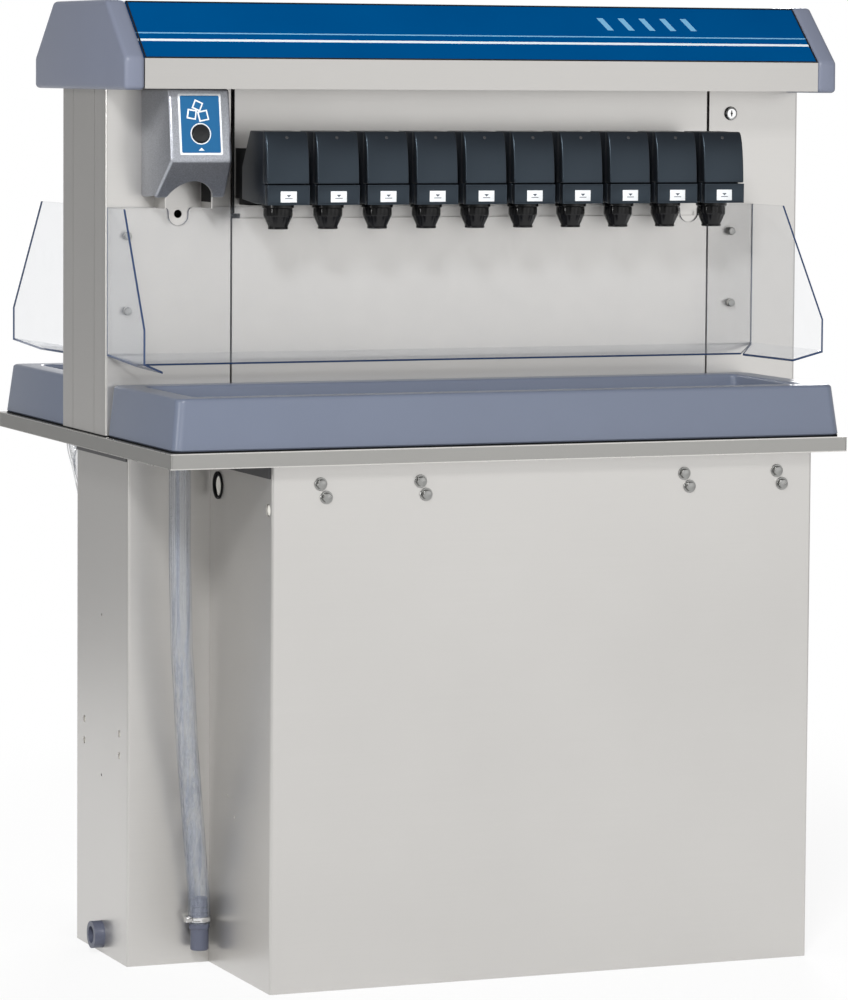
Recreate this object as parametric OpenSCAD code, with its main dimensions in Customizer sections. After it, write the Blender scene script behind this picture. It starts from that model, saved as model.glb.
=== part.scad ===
// Drop-in ice and beverage dispenser, served from both sides of a counter.
// X runs along the counter, Y across it (front is -Y), Z is up from the base of the cabinet.
// X = 0 is the middle of the tower and its canopy; front and rear mirror each other about Y = 0.

/* [Sheet metal] */
// Thickness of the stainless sheet
sheet_t = 1.5; // [1:0.1:2.5]
// Outside radius of a folded corner
bend_r = 4; // [3:0.5:8]
// Gap between neighbouring front panels of the tower
panel_gap = 3; // [1.5:0.5:5]
// Gap between a tower side cover and the panels beside it
side_gap = 1.5; // [1:0.5:4]
// Depth of the inward flanges on panels and rims
flange_w = 14; // [8:1:20]

/* [Cabinet] */
// Length of the main cabinet box along the counter
cab_w = 842; // [760:1:900]
// Depth of the main cabinet box
cab_d = 764; // [700:1:780]
// How far the cabinet box sits to the right of the tower's middle
cab_x = 22; // [10:1:30]
// Length of the narrow wing that houses the ice lift
wing_w = 125.5; // [122:0.5:140]
// Depth of the wing
wing_d = 242; // [200:1:280]
// Thickness of the insulation boards
foam_t = 50; // [30:1:60]
// Height of the insulation boards' top edge
foam_top_z = 690; // [600:1:700]
// Wall of the ice bin
bin_t = 2; // [1.5:0.1:4]
// Thickness of the cold plate in the bottom of the bin
plate_t = 40; // [25:1:60]
// Gap between the cold plate and the walls of the bin
plate_gap = 14; // [5:1:30]

/* [Frame and bolts] */
// Thickness of the steel angle frame inside the cabinet's top
angle_t = 3; // [2:0.5:5]
// Height of the frame's upright leg
angle_h = 77; // [66:1:90]
// Width of the frame's level leg
angle_w = 30; // [20:1:40]
// Height of the brackets outside the cabinet, under the deck
bracket_h = 40; // [35:1:50]
// Width of those brackets' level leg
bracket_w = 31; // [20:1:40]
// Bolt shank radius
bolt_r = 4; // [3:0.5:5]
// Bolt head size across its corners
bolt_head = 15; // [12:0.5:18]
// Drop from the deck top to the upper bolt of each pair
bolt_drop = 50; // [45:1:54]
// Step across from the upper bolt to the lower bolt
bolt_step_x = 8.5; // [0:0.5:14]
// Step down from the upper bolt to the lower bolt
bolt_step_z = 19; // [16:0.5:20]
// Places of the bolt pairs from the cabinet's left face, or below 0 from its right face
bolt_places = [73, 224, -206, -57]; // [-300:1:300]

/* [Deck] */
// Height of the deck top above the cabinet's base
deck_top_z = 771; // [740:1:800]
// Length of the deck
deck_w = 1044; // [1020:1:1060]
// Depth of the deck
deck_d = 824; // [810:1:860]
// How far the deck's middle lies to the left of the tower's middle
deck_x = -36; // [-45:1:-30]
// Height of the deck's turned-down rim
rim_h = 22; // [15:1:30]
// Length of the opening in the deck under the tower
throat_w = 700; // [500:1:720]
// Depth of that opening
throat_d = 120; // [80:1:136]
// Thickness of the black gaskets on the deck
seal_t = 2; // [1:0.5:3]
// Width of those gaskets
seal_w = 8; // [4:1:12]

/* [Tower] */
// Length of the tower
tower_w = 1106; // [1080:1:1110]
// Depth of the tower
tower_d = 204; // [190:1:240]
// Height of the tower above the deck top
tower_h = 502; // [480:1:560]
// Width of the separate cover on each end of the tower
side_cover_w = 101; // [80:1:120]
// Seam between the ice column and the valve panel
seam_left_x = -361; // [-366:1:-356]
// Seam between the valve panel and the switch column
seam_right_x = 403; // [400:1:408]
// Height of the reveal between valve panel and splash panel, above the deck top
reveal_z = 314; // [300:1:320]
// Height of the gap in that reveal
reveal_h = 7; // [4:0.5:10]
// Depth of the step behind the reveal
reveal_step = 6; // [4:0.5:10]

/* [Canopy] */
// Length of the canopy over its end caps
canopy_w = 1122; // [1116:1:1160]
// Depth of the canopy at its band
canopy_d = 427; // [400:1:460]
// Depth of the canopy's flat top
canopy_top_d = 248; // [200:1:300]
// Height of the upright band
band_h = 43; // [30:1:60]
// Height of the canopy
canopy_h = 126; // [116:1:150]
// Thickness of the end caps
cap_t = 30.5; // [20:0.5:40]
// How far the end caps stand proud of the canopy
cap_proud = 2; // [1:0.5:4]
// Rounding of the end caps' outer edge
cap_round = 6; // [3:0.5:10]
// Thickness of the coloured panels
graphic_t = 3; // [2:0.5:4]

/* [Drip trays] */
// Length of a drip tray at its base
tray_w = 1030; // [980:1:1036]
// Gap from the front of the deck to the front of the tray
tray_inset = 8; // [6:1:20]
// Height of a drip tray
tray_h = 73; // [65:1:84]
// How much the tray's walls lean in from bottom to top
tray_draft = 7.5; // [4:0.5:12]
// Corner radius of the tray in plan
tray_corner = 14; // [8:1:20]
// Rounding of the tray's top edges
tray_round = 5; // [3:0.5:8]
// Width of the flat rim round the basin
rim_w = 38; // [30:1:50]
// Depth from the rim to the ledge that carries the grille
grille_drop = 37; // [25:1:45]
// Width of that ledge
ledge_w = 6; // [4:1:10]
// Thickness of the tray's floor
tray_floor = 12; // [8:1:16]
// Thickness of the cup grille
grille_t = 6; // [4:0.5:8]
// Centre distance of the grille's slots
slot_pitch = 18; // [14:0.5:24]
// Width of a slot
slot_w = 12; // [8:0.5:13]
// Outer radius of the drain spigots
spigot_r = 15; // [13:0.5:16]
// Bore radius of the drain spigots
spigot_bore = 11; // [8:0.5:12]

/* [Splash guards] */
// Thickness of the clear sheet
guard_t = 3; // [2:0.5:5]
// Length of a guard's back sheet
guard_w = 1028; // [1000:1:1029]
// Height of the guard's top edge above the deck top
guard_top = 331; // [320:1:340]
// Height of the guard's folds above the deck top
guard_fold = 117; // [105:1:130]
// How far the lower lip stands out
lip_out = 32; // [20:1:40]
// Drop of the guard's lip
lip_drop = 13; // [6:1:20]
// Depth of the wings at their top edge
wing_top_d = 95; // [80:1:110]
// Depth of the wings at their front edge
wing_front_d = 212; // [180:1:216]
// Height of the wing's upright front edge
wing_front_h = 49; // [30:1:60]
// Angle by which the wings stand outwards
wing_splay = 4.2; // [0:0.1:5]
// Width of the flap folded in under each wing
flap_w = 35; // [20:1:40]
// How far the flap's corner stands back from the wing's front
flap_back = 27; // [10:1:40]
// Gap between the lip's end and the flap
mitre_gap = 2; // [1:0.5:4]
// Radius of the notches in the top edge
notch_r = 15; // [10:0.5:20]
// Depth of those notches
notch_depth = 27; // [20:1:32]
// Radius that eases the notch's two top corners
notch_ease = 8; // [4:0.5:10]
// Radius of the thumb screws' heads
thumb_r = 6; // [5:0.5:8]
// Length of the thumb screws' heads
thumb_l = 9; // [7:0.5:12]
// Height of the upper thumb screws above the deck top
thumb_z = 290; // [270:1:300]
// Distance between upper and lower thumb screws
thumb_pitch = 108.5; // [90:0.5:120]
// Place of the left thumb screws from the guard's left end
thumb_in_l = 28.5; // [15:0.5:40]
// Place of the right thumb screws from the guard's right end
thumb_in_r = 38; // [15:0.5:60]

/* [Ice lift] */
// Place of the ice lift from the cabinet's left face
lift_x = -53.5; // [-54:0.1:-53]
// Outer radius of the lift tube
lift_r = 54; // [48:0.5:54]
// Wall of the lift tube
lift_t = 3; // [2:0.5:4]
// Radius of the auger's shaft
shaft_r = 10; // [8:0.5:14]
// Gap between the auger flight and the tube
flight_gap = 3; // [2:0.5:6]
// Rise of the auger flight in one turn
flight_pitch = 88; // [70:1:110]
// Thickness of the auger flight
flight_t = 4; // [3:0.5:6]
// Running clearance of shafts and buttons, on the radius
run_gap = 0.08; // [0.05:0.01:0.1]
// Width of the opening from the bin into the lift
inlet_w = 90; // [60:1:94]
// Height of that opening
inlet_h = 90; // [60:1:140]
// Length of the lift's gearbox
gearbox_w = 110; // [90:1:130]
// Height of the lift's gearbox
gearbox_h = 48; // [36:1:60]
// Radius of the motor on it
motor_r = 42; // [35:1:44]

/* [Ice chute] */
// Middle of the ice chutes
chute_x = -443; // [-446:0.5:-440]
// Half width of the chute cover at the tower
hood_back = 56; // [54:0.5:58]
// Half width of the chute cover at its front
hood_front = 46; // [42:0.5:50]
// Depth of the chute cover at the foot of its face
hood_d = 105; // [95:1:115]
// Depth of the chute cover at its top
hood_top_d = 90; // [80:1:100]
// Height of the chute cover's face
hood_face_h = 101; // [85:1:105]
// Height of the whole chute cover
hood_h = 156; // [145:1:160]
// Depth of the chute cover's foot
foot_d = 53; // [50:1:60]
// Radius of the arch in the chute cover's foot
arch_r = 38.3; // [28:0.1:40]
// Rise of that arch
arch_rise = 24; // [16:1:28]
// Wall of the chute cover
hood_t = 3; // [2:0.5:4]
// Rounding of the chute cover's front edges
hood_round = 4.5; // [3:0.5:8]
// Half width of the stainless chute
chute_half = 36; // [33:0.5:40]
// Depth of the stainless chute
chute_d = 48; // [44:1:49]
// Height of the stainless chute's lower end above the deck top
chute_low = 330; // [325:1:340]
// Height of the stainless chute
chute_h = 112; // [100:1:120]
// Height of the opening in the chute's front
chute_open = 45; // [30:1:55]
// Half the width of the window that the ice comes through
window_half = 29; // [22:0.5:31]
// Height of that window
window_h = 64; // [50:1:70]
// Height of the window above the chute's lower end
window_low = 29; // [24:1:34]
// Thickness of the chute door
door_t = 2.5; // [2:0.5:4]
// Height of the ice button above the deck top
ice_button_z = 438; // [430:1:445]
// Radius of the ice button
ice_button_r = 13; // [10:0.5:15]

/* [Valves] */
// Centre distance of the valves
valve_pitch = 76.2; // [70:0.1:76.4]
// Place of the first valve
valve_x0 = -330; // [-334:1:-326]
// Width of a valve
valve_w = 64; // [56:1:68]
// Depth of the mounting block behind a valve
mount_d = 44; // [30:1:50]
// Depth of a valve's front face from the tower
valve_d = 156; // [145:1:165]
// Height of a valve's underside above the deck top
valve_low = 338; // [334:1:344]
// Height of a valve
valve_h = 104; // [95:1:110]
// Wall of a valve's cover
cover_t = 2.5; // [2:0.1:3.5]
// Height of the push plate
push_h = 29; // [24:1:34]
// Travel of every push button
push_travel = 3; // [1:0.5:4]
// Distance of the nozzle from the tower
nozzle_d = 112; // [100:1:120]
// Radius of the nozzle's flange
nozzle_flange_r = 23; // [21.5:0.5:26]
// Radius of the nozzle's body
nozzle_r = 20.5; // [17:0.5:21]
// Radius of the nozzle's outlet
nozzle_tip_r = 14; // [12.5:0.5:16]
// Height of the nozzle
nozzle_h = 36; // [30:1:42]
// Height of the nozzle's taper
nozzle_taper = 17; // [12:1:20]
// Height of the nozzle's flange
nozzle_flange_h = 5; // [3:0.5:7]
// Bore radius of the nozzle's outlet
nozzle_bore = 10; // [7:0.5:12]

/* [Switch column] */
// Place of the key switch
key_x = 440; // [430:1:450]
// Height of the key switch above the deck top
key_z = 468; // [455:1:480]
// Radius of the key switch's bezel
key_r = 10.5; // [9:0.5:13]
// Radius of the turning key plug
plug_r = 7; // [5:0.5:8]
// Length of the control box
control_w = 118; // [90:1:124]
// Depth of the control box
control_d = 120; // [80:1:150]
// Height of the control box
control_h = 230; // [150:1:300]

/* [Drains] */
// Outer radius of the bin drain
drain_r = 20; // [18:0.5:24]
// Bore radius of the bin drain
drain_bore = 12.6; // [10:0.1:14]
// Height of the bin drain's middle
drain_z = 27; // [26:1:40]
// How far the bin drain stands out of the wing
drain_out = 16; // [10:1:25]
// Outer radius of the drain hoses
hose_r = 16; // [14:0.5:16]
// Radius of the hose fitting's tail
tail_r = 13.3; // [12:0.1:14]
// Length of the hose fitting's tail
tail_l = 31; // [20:1:50]
// Bore radius of the hose fittings
fitting_bore = 9.5; // [7:0.5:10]

/* [Hidden] */
valve_n = 10;
fn_round = 48;
fn_soft = 24;
eps = 0.01;
seat_gap = 0.3;

// Cabinet, all from its left and right faces
cab_l = cab_x - cab_w / 2;
cab_r = cab_x + cab_w / 2;
cab_h = deck_top_z - sheet_t;
wing_l = cab_l - wing_w;
bin_w = cab_w - 2 * sheet_t - 2 * foam_t;
bin_d = cab_d - 2 * sheet_t - 2 * foam_t;
bin_z = sheet_t + foam_t;
bin_top = cab_h - angle_t;
inlet_z = bin_z + bin_t + plate_t + 1.5;
grommet_r = 18;
bolts = [for (b = bolt_places) b < 0 ? cab_w + b : b];
wing_hole_y = 83;
wing_hole_z = [304, 336];
wing_pin_z = [264, 501];
lift_at = cab_l + lift_x;

// Tower and what hangs on it
face = tower_d / 2;
base_z = deck_top_z + seal_t;
tower_top = deck_top_z + tower_h;
canopy_top = tower_top + canopy_h;
side_edge = side_cover_w / 2;
valve_z = deck_top_z + valve_low;
seam_z = valve_z + push_h;
foot_z = tower_top - hood_h;
hood_face_z = tower_top - hood_face_h;
hood_turn = [hood_d - hood_round - hood_top_d, hood_face_h];
hood_lean = atan2(hood_turn[0], hood_turn[1]) + asin(hood_round / norm(hood_turn));
button_z = deck_top_z + ice_button_z;
button_d = hood_top_d + (tower_top - button_z) * tan(hood_lean);
chute_z = deck_top_z + chute_low;
window_z = chute_z + window_low;
hose_end = 62;
guard_foot = deck_top_z + guard_fold;
block_half = valve_w / 2 - cover_t - 6;
door_line = -sheet_t - door_t / 2 - 0.6;

// Trays and guards
guard_l = deck_x - guard_w / 2;
guard_r = deck_x + guard_w / 2;
thumb_sites = [guard_l + thumb_in_l, guard_r - thumb_in_r];
tray_front = deck_d / 2 - tray_inset;
tray_back = face + 0.5;
tray_top = base_z + tray_h;
ledge_z = tray_top - grille_drop;
drain_front = [-475, 208];
drain_rear = [-483, 250];

// The drain hoses' routes, from the spigots down to the fittings near the wing's corner
hose_low = [-421, 143];
route_front = [[-475, -208, 749], [-475, -208, 705], [-475, -208, 660], [-475, -208, 615],
    [-474, -208, 570], [-472, -206, 522], [-470, -203, 474], [-465, -198, 426],
    [-460, -191, 378], [-455, -184, 330], [-448, -175, 284], [-441, -165, 238],
    [-434, -156, 190], [-428, -149, 145], [-423, -145, 102], [-421, -143, 62]];
route_rear = [[-483, 250, 749], [-483, 249, 728], [-479, 240, 702], [-475, 228, 670],
    [-471, 216, 625], [-468, 207, 580], [-465, 200, 534], [-463, 196, 490],
    [-460, 191, 445], [-456, 186, 395], [-452, 180, 345], [-447, 173, 300],
    [-441, 165, 252], [-434, 156, 200], [-428, 149, 150], [-423, 145, 105],
    [-421, 143, 62]];

// Colours
steel = [0.76, 0.75, 0.73];
dark_steel = [0.30, 0.30, 0.31];
slate = [0.50, 0.53, 0.60];
ink = [0.13, 0.15, 0.18];
signal_blue = [0.02, 0.32, 0.55];
silver_grey = [0.58, 0.58, 0.60];
pvc = [0.35, 0.36, 0.42];

// Draws the front copy and its mirror image at the rear
module both_sides() {
  children();
  mirror([0, 1, 0]) children();
}

// Moves to a place on the front, counted outwards from the tower's face
module on_face(x, out, z) {
  translate([x, -face - out, z]) children();
}

// A cylinder along Y that starts at the origin and runs outwards, to the front
module rod_y(r, len) {
  rotate([90, 0, 0]) cylinder(r = r, h = len, $fn = fn_round);
}

// A cylinder along X that starts at the origin
module rod_x(r, len) {
  rotate([0, 90, 0]) cylinder(r = r, h = len, $fn = fn_round);
}

// A rectangle with round corners, about the origin
module round_rect(w, d, r, fn = fn_round) {
  square([w - 2 * r, d], center = true);
  square([w, d - 2 * r], center = true);
  for (sx = [-1, 1], sy = [-1, 1])
    translate([sx * (w / 2 - r), sy * (d / 2 - r)]) circle(r = r, $fn = fn);
}

// The outline of a sheet folded round a rectangle
module folded_outline(w, d, t = sheet_t) {
  difference() {
    round_rect(w, d, bend_r);
    round_rect(w - 2 * t, d - 2 * t, bend_r - t);
  }
}

// A profile drawn in depth and height, extruded along X about its middle
module profile_x(w, points) {
  rotate([90, 0, -90]) linear_extrude(w, center = true) polygon(points);
}

// A box given by its low corner and its high corner
module box(low, high) {
  translate(low) cube(high - low);
}

module base_pan() {
  color(steel) linear_extrude(sheet_t) {
    translate([cab_x, 0])
      round_rect(cab_w - 2 * sheet_t, cab_d - 2 * sheet_t, bend_r - sheet_t);
    translate([wing_l + sheet_t, -wing_d / 2 + sheet_t])
      square([wing_w + 2 * bend_r, wing_d - 2 * sheet_t]);
  }
}

// Holes in the cabinet's left face: lines, cable and small fixings
module line_holes() {
  both_sides() {
    translate([cab_l - 1, -wing_d / 2 - 36, deck_top_z - 69]) rod_x(grommet_r, 5);
    translate([cab_l - 1, -cab_d / 2 + 14, deck_top_z - 86]) rod_x(9, 5);
    translate([cab_l - 1, -wing_d / 2 - 81, 257]) rod_x(2.2, 5);
    translate([cab_l - 1, -wing_d / 2 - 109, 230]) rod_x(2.2, 5);
  }
}

// Places of the frame bolts on the front face
module bolt_sites() {
  for (x = bolts)
    for (lower = [0, 1])
      translate([cab_l + x + lower * bolt_step_x, -cab_d / 2,
        deck_top_z - bolt_drop - lower * bolt_step_z]) children();
}

module wrap_sheets() {
  difference() {
    linear_extrude(cab_h) translate([cab_x, 0]) difference() {
      folded_outline(cab_w, cab_d);
      translate([-cab_w / 2 - 1, -wing_d / 2 - seat_gap])
        square([sheet_t + 2, wing_d + 2 * seat_gap]);
      translate([cab_w / 2 - sheet_t - 1, -side_gap / 2]) square([sheet_t + 2, side_gap]);
    }
    line_holes();
    both_sides() bolt_sites() translate([0, 1 + sheet_t, 0]) rod_y(bolt_r + run_gap, sheet_t + 2);
  }
}

module wing_cover() {
  difference() {
    linear_extrude(cab_h) intersection() {
      translate([wing_l + wing_w, 0]) folded_outline(2 * wing_w, wing_d);
      translate([wing_l, -wing_d / 2]) square([wing_w + sheet_t, wing_d]);
    }
    translate([wing_l - 1, 0, drain_z]) rod_x(drain_r + 0.2, sheet_t + 2);
    for (y = [-wing_hole_y, wing_hole_y], z = wing_hole_z) translate([wing_l - 1, y, z]) rod_x(5.3, sheet_t + 2);
    for (z = wing_pin_z) translate([wing_l - 1, 0, z]) rod_x(2.2, sheet_t + 2);
  }
}

module cabinet_panels() {
  color(steel) {
    wrap_sheets();
    wing_cover();
  }
}

module insulation_boards() {
  w = cab_w - 2 * sheet_t;
  d = cab_d - 2 * sheet_t;
  l = cab_l + sheet_t;
  r = cab_r - sheet_t;
  side = bin_d / 2 - seat_gap;
  corner = (bend_r - sheet_t) * 0.3 + 0.25;
  color([0.93, 0.92, 0.88]) {
    box([l, -d / 2 + bend_r, sheet_t], [r, d / 2 - bend_r, bin_z - seat_gap]);
    both_sides() box([l + bend_r, -d / 2, bin_z], [r - bend_r, -d / 2 + foam_t, foam_top_z]);
    box([r - foam_t, -side, bin_z], [r, side, foam_top_z]);
    difference() {
      box([l, -side, bin_z], [l + foam_t, side, foam_top_z]);
      box([l - 1, -inlet_w / 2 - bin_t, inlet_z - bin_t],
        [l + foam_t + 1, inlet_w / 2 + bin_t, inlet_z + inlet_h + bin_t]);
    }
    both_sides() box([wing_l + sheet_t + corner, -wing_d / 2 + sheet_t + corner, sheet_t],
      [l - seat_gap, -lift_r - seat_gap, cab_h - 12]);
  }
}

module bin_liner() {
  cx = cab_x;
  duct = inlet_w / 2 + bin_t;
  color([0.80, 0.81, 0.82]) difference() {
    union() {
      translate([cx, 0, bin_z]) linear_extrude(bin_top - bin_z)
        square([bin_w, bin_d], center = true);
      translate([cx, 0, bin_top - sheet_t]) linear_extrude(sheet_t)
        square([bin_w + 2 * angle_w, bin_d + 2 * angle_w], center = true);
      box([lift_at, -duct, inlet_z - bin_t], [cx - bin_w / 2 + 1, duct, inlet_z + inlet_h + bin_t]);
    }
    translate([cx, 0, bin_z + bin_t]) linear_extrude(bin_top)
      square([bin_w - 2 * bin_t, bin_d - 2 * bin_t], center = true);
    box([lift_at - 1, -inlet_w / 2, inlet_z], [cx, inlet_w / 2, inlet_z + inlet_h]);
    translate([lift_at, 0, 0]) cylinder(r = lift_r + 0.2, h = bin_top, $fn = fn_round);
  }
}

module cold_plate() {
  color([0.70, 0.71, 0.73]) translate([cab_x, 0, bin_z + bin_t]) linear_extrude(plate_t)
    round_rect(bin_w - 2 * bin_t - 2 * plate_gap, bin_d - 2 * bin_t - 2 * plate_gap, 20);
}

module angle_ring() {
  difference() {
    translate([cab_x, 0, 0]) union() {
      translate([0, 0, cab_h - angle_h]) linear_extrude(angle_h) difference() {
        square([cab_w - 2 * sheet_t, cab_d - 2 * sheet_t], center = true);
        square([cab_w - 2 * (sheet_t + angle_t), cab_d - 2 * (sheet_t + angle_t)], center = true);
      }
      translate([0, 0, cab_h - angle_t]) linear_extrude(angle_t) difference() {
        square([cab_w - 2 * sheet_t, cab_d - 2 * sheet_t], center = true);
        square([cab_w - 2 * (sheet_t + angle_w), cab_d - 2 * (sheet_t + angle_w)], center = true);
      }
    }
    both_sides() bolt_sites() translate([0, 8, 0]) rod_y(bolt_r + run_gap, 12);
    box([cab_l, -wing_d / 2 + sheet_t, cab_h - angle_h - 1],
      [cab_l + sheet_t + angle_t + 1, wing_d / 2 - sheet_t, cab_h - angle_t]);
    for (sx = [-1, 1], sy = [-1, 1])
      translate([cab_x + sx * (cab_w / 2 - sheet_t), sy * (cab_d / 2 - sheet_t), 0])
        rotate(45) cube([5, 5, 2000], center = true);
  }
}

// Angles outside the cabinet that the deck also rests on
module deck_brackets() {
  box_leg = cab_d / 2 - bend_r;
  wing_leg = wing_d / 2 - bend_r;
  both_sides() {
    box([cab_l - 2, -box_leg, cab_h - bracket_h], [cab_l, -wing_d / 2 - 3, cab_h]);
    box([cab_l - bracket_w, -box_leg, cab_h - 2], [cab_l - 2, -wing_d / 2 - 3, cab_h]);
  }
  box([wing_l - 2, -wing_leg, cab_h - bracket_h + 6], [wing_l, wing_leg, cab_h]);
}

module support_frame() {
  color(dark_steel) {
    angle_ring();
    deck_brackets();
  }
}

module cabinet_bolts() {
  both_sides() {
    bolt_sites() {
      rod_y(bolt_head / 2 + 2, 1.5);
      translate([0, -1.5, 0]) rotate([90, 30, 0]) cylinder(r = bolt_head / 2, h = 5.5, $fn = 6);
      translate([0, sheet_t + angle_t + 3, 0]) rod_y(bolt_r, sheet_t + angle_t + 3);
    }
    for (y = [16, 35])
      translate([cab_l - 2, -cab_d / 2 + y, cab_h - bracket_h + 4 + (y - 16) * 0.6])
        rotate([0, -90, 0]) cylinder(r = 5, h = 4, $fn = 6);
    translate([wing_l - 2, -wing_d / 2 + 28, cab_h - bracket_h / 2])
      rotate([0, -90, 0]) cylinder(r = 4, h = 2.5, $fn = fn_soft);
  }
}

module line_grommets() {
  both_sides()
    translate([cab_l, -wing_d / 2 - 36, deck_top_z - 69]) rotate([0, -90, 0])
      rotate_extrude($fn = fn_round) {
        translate([grommet_r - 2, -sheet_t]) square([2 - run_gap, sheet_t]);
        translate([grommet_r - 2, 0]) square([4, 2]);
      }
}

module bin_drain() {
  color(pvc) difference() {
    translate([wing_l - drain_out, 0, drain_z])
      rod_x(drain_r, drain_out + lift_at - lift_r + 2 - wing_l);
    translate([wing_l - drain_out - 1, 0, drain_z]) rod_x(drain_bore, 100);
  }
}

module deck() {
  color(steel) translate([deck_x, 0, 0]) difference() {
    translate([0, 0, deck_top_z - rim_h]) linear_extrude(rim_h) round_rect(deck_w, deck_d, bend_r);
    translate([0, 0, deck_top_z - rim_h + sheet_t]) linear_extrude(rim_h - 2 * sheet_t)
      round_rect(deck_w - 2 * sheet_t, deck_d - 2 * sheet_t, bend_r - sheet_t);
    translate([0, 0, deck_top_z - rim_h - 1]) linear_extrude(sheet_t + 2)
      square([deck_w - 2 * flange_w, deck_d - 2 * flange_w], center = true);
    translate([cab_x - deck_x, 0, deck_top_z - 3]) linear_extrude(5)
      square([throat_w, throat_d], center = true);
    translate([lift_at - deck_x, 0, deck_top_z - 3]) cylinder(r = lift_r + 2, h = 5, $fn = fn_round);
    for (p = [[drain_front[0], -drain_front[1]], drain_rear])
      translate([p[0] - deck_x, p[1], deck_top_z - 3]) cylinder(r = spigot_r + 2, h = 5, $fn = fn_round);
  }
}

module deck_seals() {
  translate([0, 0, deck_top_z]) {
    both_sides() linear_extrude(seal_t) difference() {
      tray_plan(0);
      tray_plan(seal_w);
    }
    linear_extrude(seal_t) difference() {
      translate([-tower_w / 2, -face]) square([tower_w / 2 + deck_x + deck_w / 2 - 1, tower_d]);
      translate([-tower_w / 2 + seal_w, -face + seal_w])
        square([tower_w / 2 + deck_x + deck_w / 2 - 1 - 2 * seal_w, tower_d - 2 * seal_w]);
    }
  }
}

module rubber_seals() {
  color(ink) {
    deck_seals();
    line_grommets();
  }
}

// The front tray in plan, drawn in by a margin
module tray_plan(m, r = tray_corner) {
  w = tray_w - 2 * m;
  d = tray_front - tray_back - 2 * m;
  translate([deck_x, -(tray_front + tray_back) / 2]) round_rect(w, d, max(r - m, 3));
}

// The tray's four corners at a height, with the back wall kept upright
module tray_corners(m, z) {
  w = tray_w - 2 * m;
  d = tray_front - tray_back - m;
  r = tray_corner;
  translate([deck_x, -(tray_front - m + tray_back) / 2, z])
    for (sx = [-1, 1], sy = [-1, 1])
      translate([sx * (w / 2 - r), sy * (d / 2 - r), 0]) cylinder(r = r, h = eps, $fn = fn_soft);
}

// The hollow of the front tray in plan, drawn in by a margin
module basin_plan(m) {
  w = tray_w - 2 * tray_draft - 2 * rim_w - 2 * m;
  d = tray_front - tray_draft - tray_back - 2 * rim_w - 2 * m;
  translate([deck_x, -(tray_front - tray_draft + tray_back) / 2])
    round_rect(w, d, 10, fn_soft);
}

module drip_tray(drain) {
  difference() {
    hull() {
      tray_corners(0, base_z);
      tray_corners(tray_draft, tray_top - tray_round);
      tray_corners(tray_draft + tray_round * 0.3, tray_top - tray_round * 0.3);
      tray_corners(tray_draft + tray_round, tray_top - eps);
    }
    translate([0, 0, ledge_z]) linear_extrude(tray_h) basin_plan(0);
    translate([0, 0, tray_top - 10]) linear_extrude(tray_h) basin_plan(-4);
    translate([0, 0, base_z + tray_floor]) linear_extrude(tray_h) basin_plan(ledge_w);
    translate([drain[0], -drain[1], base_z - 1])
      cylinder(r = spigot_r + seat_gap, h = tray_h, $fn = fn_round);
  }
}

// Strainer body that drops through the tray's floor and carries the hose
module tray_spigot(drain) {
  low = deck_top_z - rim_h;
  seat = base_z + tray_floor + 0.1;
  translate([drain[0], -drain[1], 0]) difference() {
    union() {
      translate([0, 0, low]) cylinder(r = spigot_r, h = seat + 2 - low, $fn = fn_round);
      translate([0, 0, seat]) cylinder(r = spigot_r + 1.2, h = 2, $fn = fn_round);
    }
    translate([0, 0, low - 1]) cylinder(r = spigot_bore, h = seat + 4 - low, $fn = fn_round);
  }
}

module drip_trays() {
  color(slate) {
    drip_tray(drain_front);
    tray_spigot(drain_front);
    mirror([0, 1, 0]) {
      drip_tray(drain_rear);
      tray_spigot(drain_rear);
    }
  }
}

module cup_grilles() {
  w = tray_w - 2 * tray_draft - 2 * rim_w - 1;
  d = tray_front - tray_draft - tray_back - 2 * rim_w - 1;
  n = floor((w - 20) / slot_pitch);
  slot_l = (d - 36) / 2;
  color([0.70, 0.70, 0.71]) both_sides()
    translate([deck_x, -(tray_front - tray_draft + tray_back) / 2, ledge_z])
      linear_extrude(grille_t) difference() {
        round_rect(w, d, 9);
        for (i = [0 : n - 1], s = [-1, 1])
          translate([(i - (n - 1) / 2) * slot_pitch - slot_w / 2, s * (slot_l / 2 + 6) - slot_l / 2])
            square([slot_w, slot_l]);
      }
}

// One ring of a hose, square to the stretch of route round it
function ring(route, i, r, sides) =
  let (a = route[max(i - 1, 0)], b = route[min(i + 1, len(route) - 1)],
    t = (i == 0 || i == len(route) - 1) ? [0, 0, -1] : (b - a) / norm(b - a),
    u = cross([0, 1, 0], t) / norm(cross([0, 1, 0], t)), v = cross(t, u))
  [for (k = [0 : sides - 1])
    route[i] + r * cos(360 * k / sides) * u + r * sin(360 * k / sides) * v];

// A round tube along a route
module hose(route, r, sides = 12) {
  n = len(route);
  points = [for (i = [0 : n - 1]) each ring(route, i, r, sides)];
  faces = concat([[for (k = [0 : sides - 1]) k]],
    [for (i = [0 : n - 2], k = [0 : sides - 1])
      [i * sides + k, (i + 1) * sides + k, (i + 1) * sides + (k + 1) % sides, i * sides + (k + 1) % sides]],
    [[for (k = [sides - 1 : -1 : 0]) (n - 1) * sides + k]]);
  polyhedron(points, faces);
}

module drain_hose_front() {
  color([0.75, 0.80, 0.85]) hose(route_front, hose_r);
}

module drain_hose_rear() {
  color([0.75, 0.80, 0.85]) hose(route_rear, hose_r);
}

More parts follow.
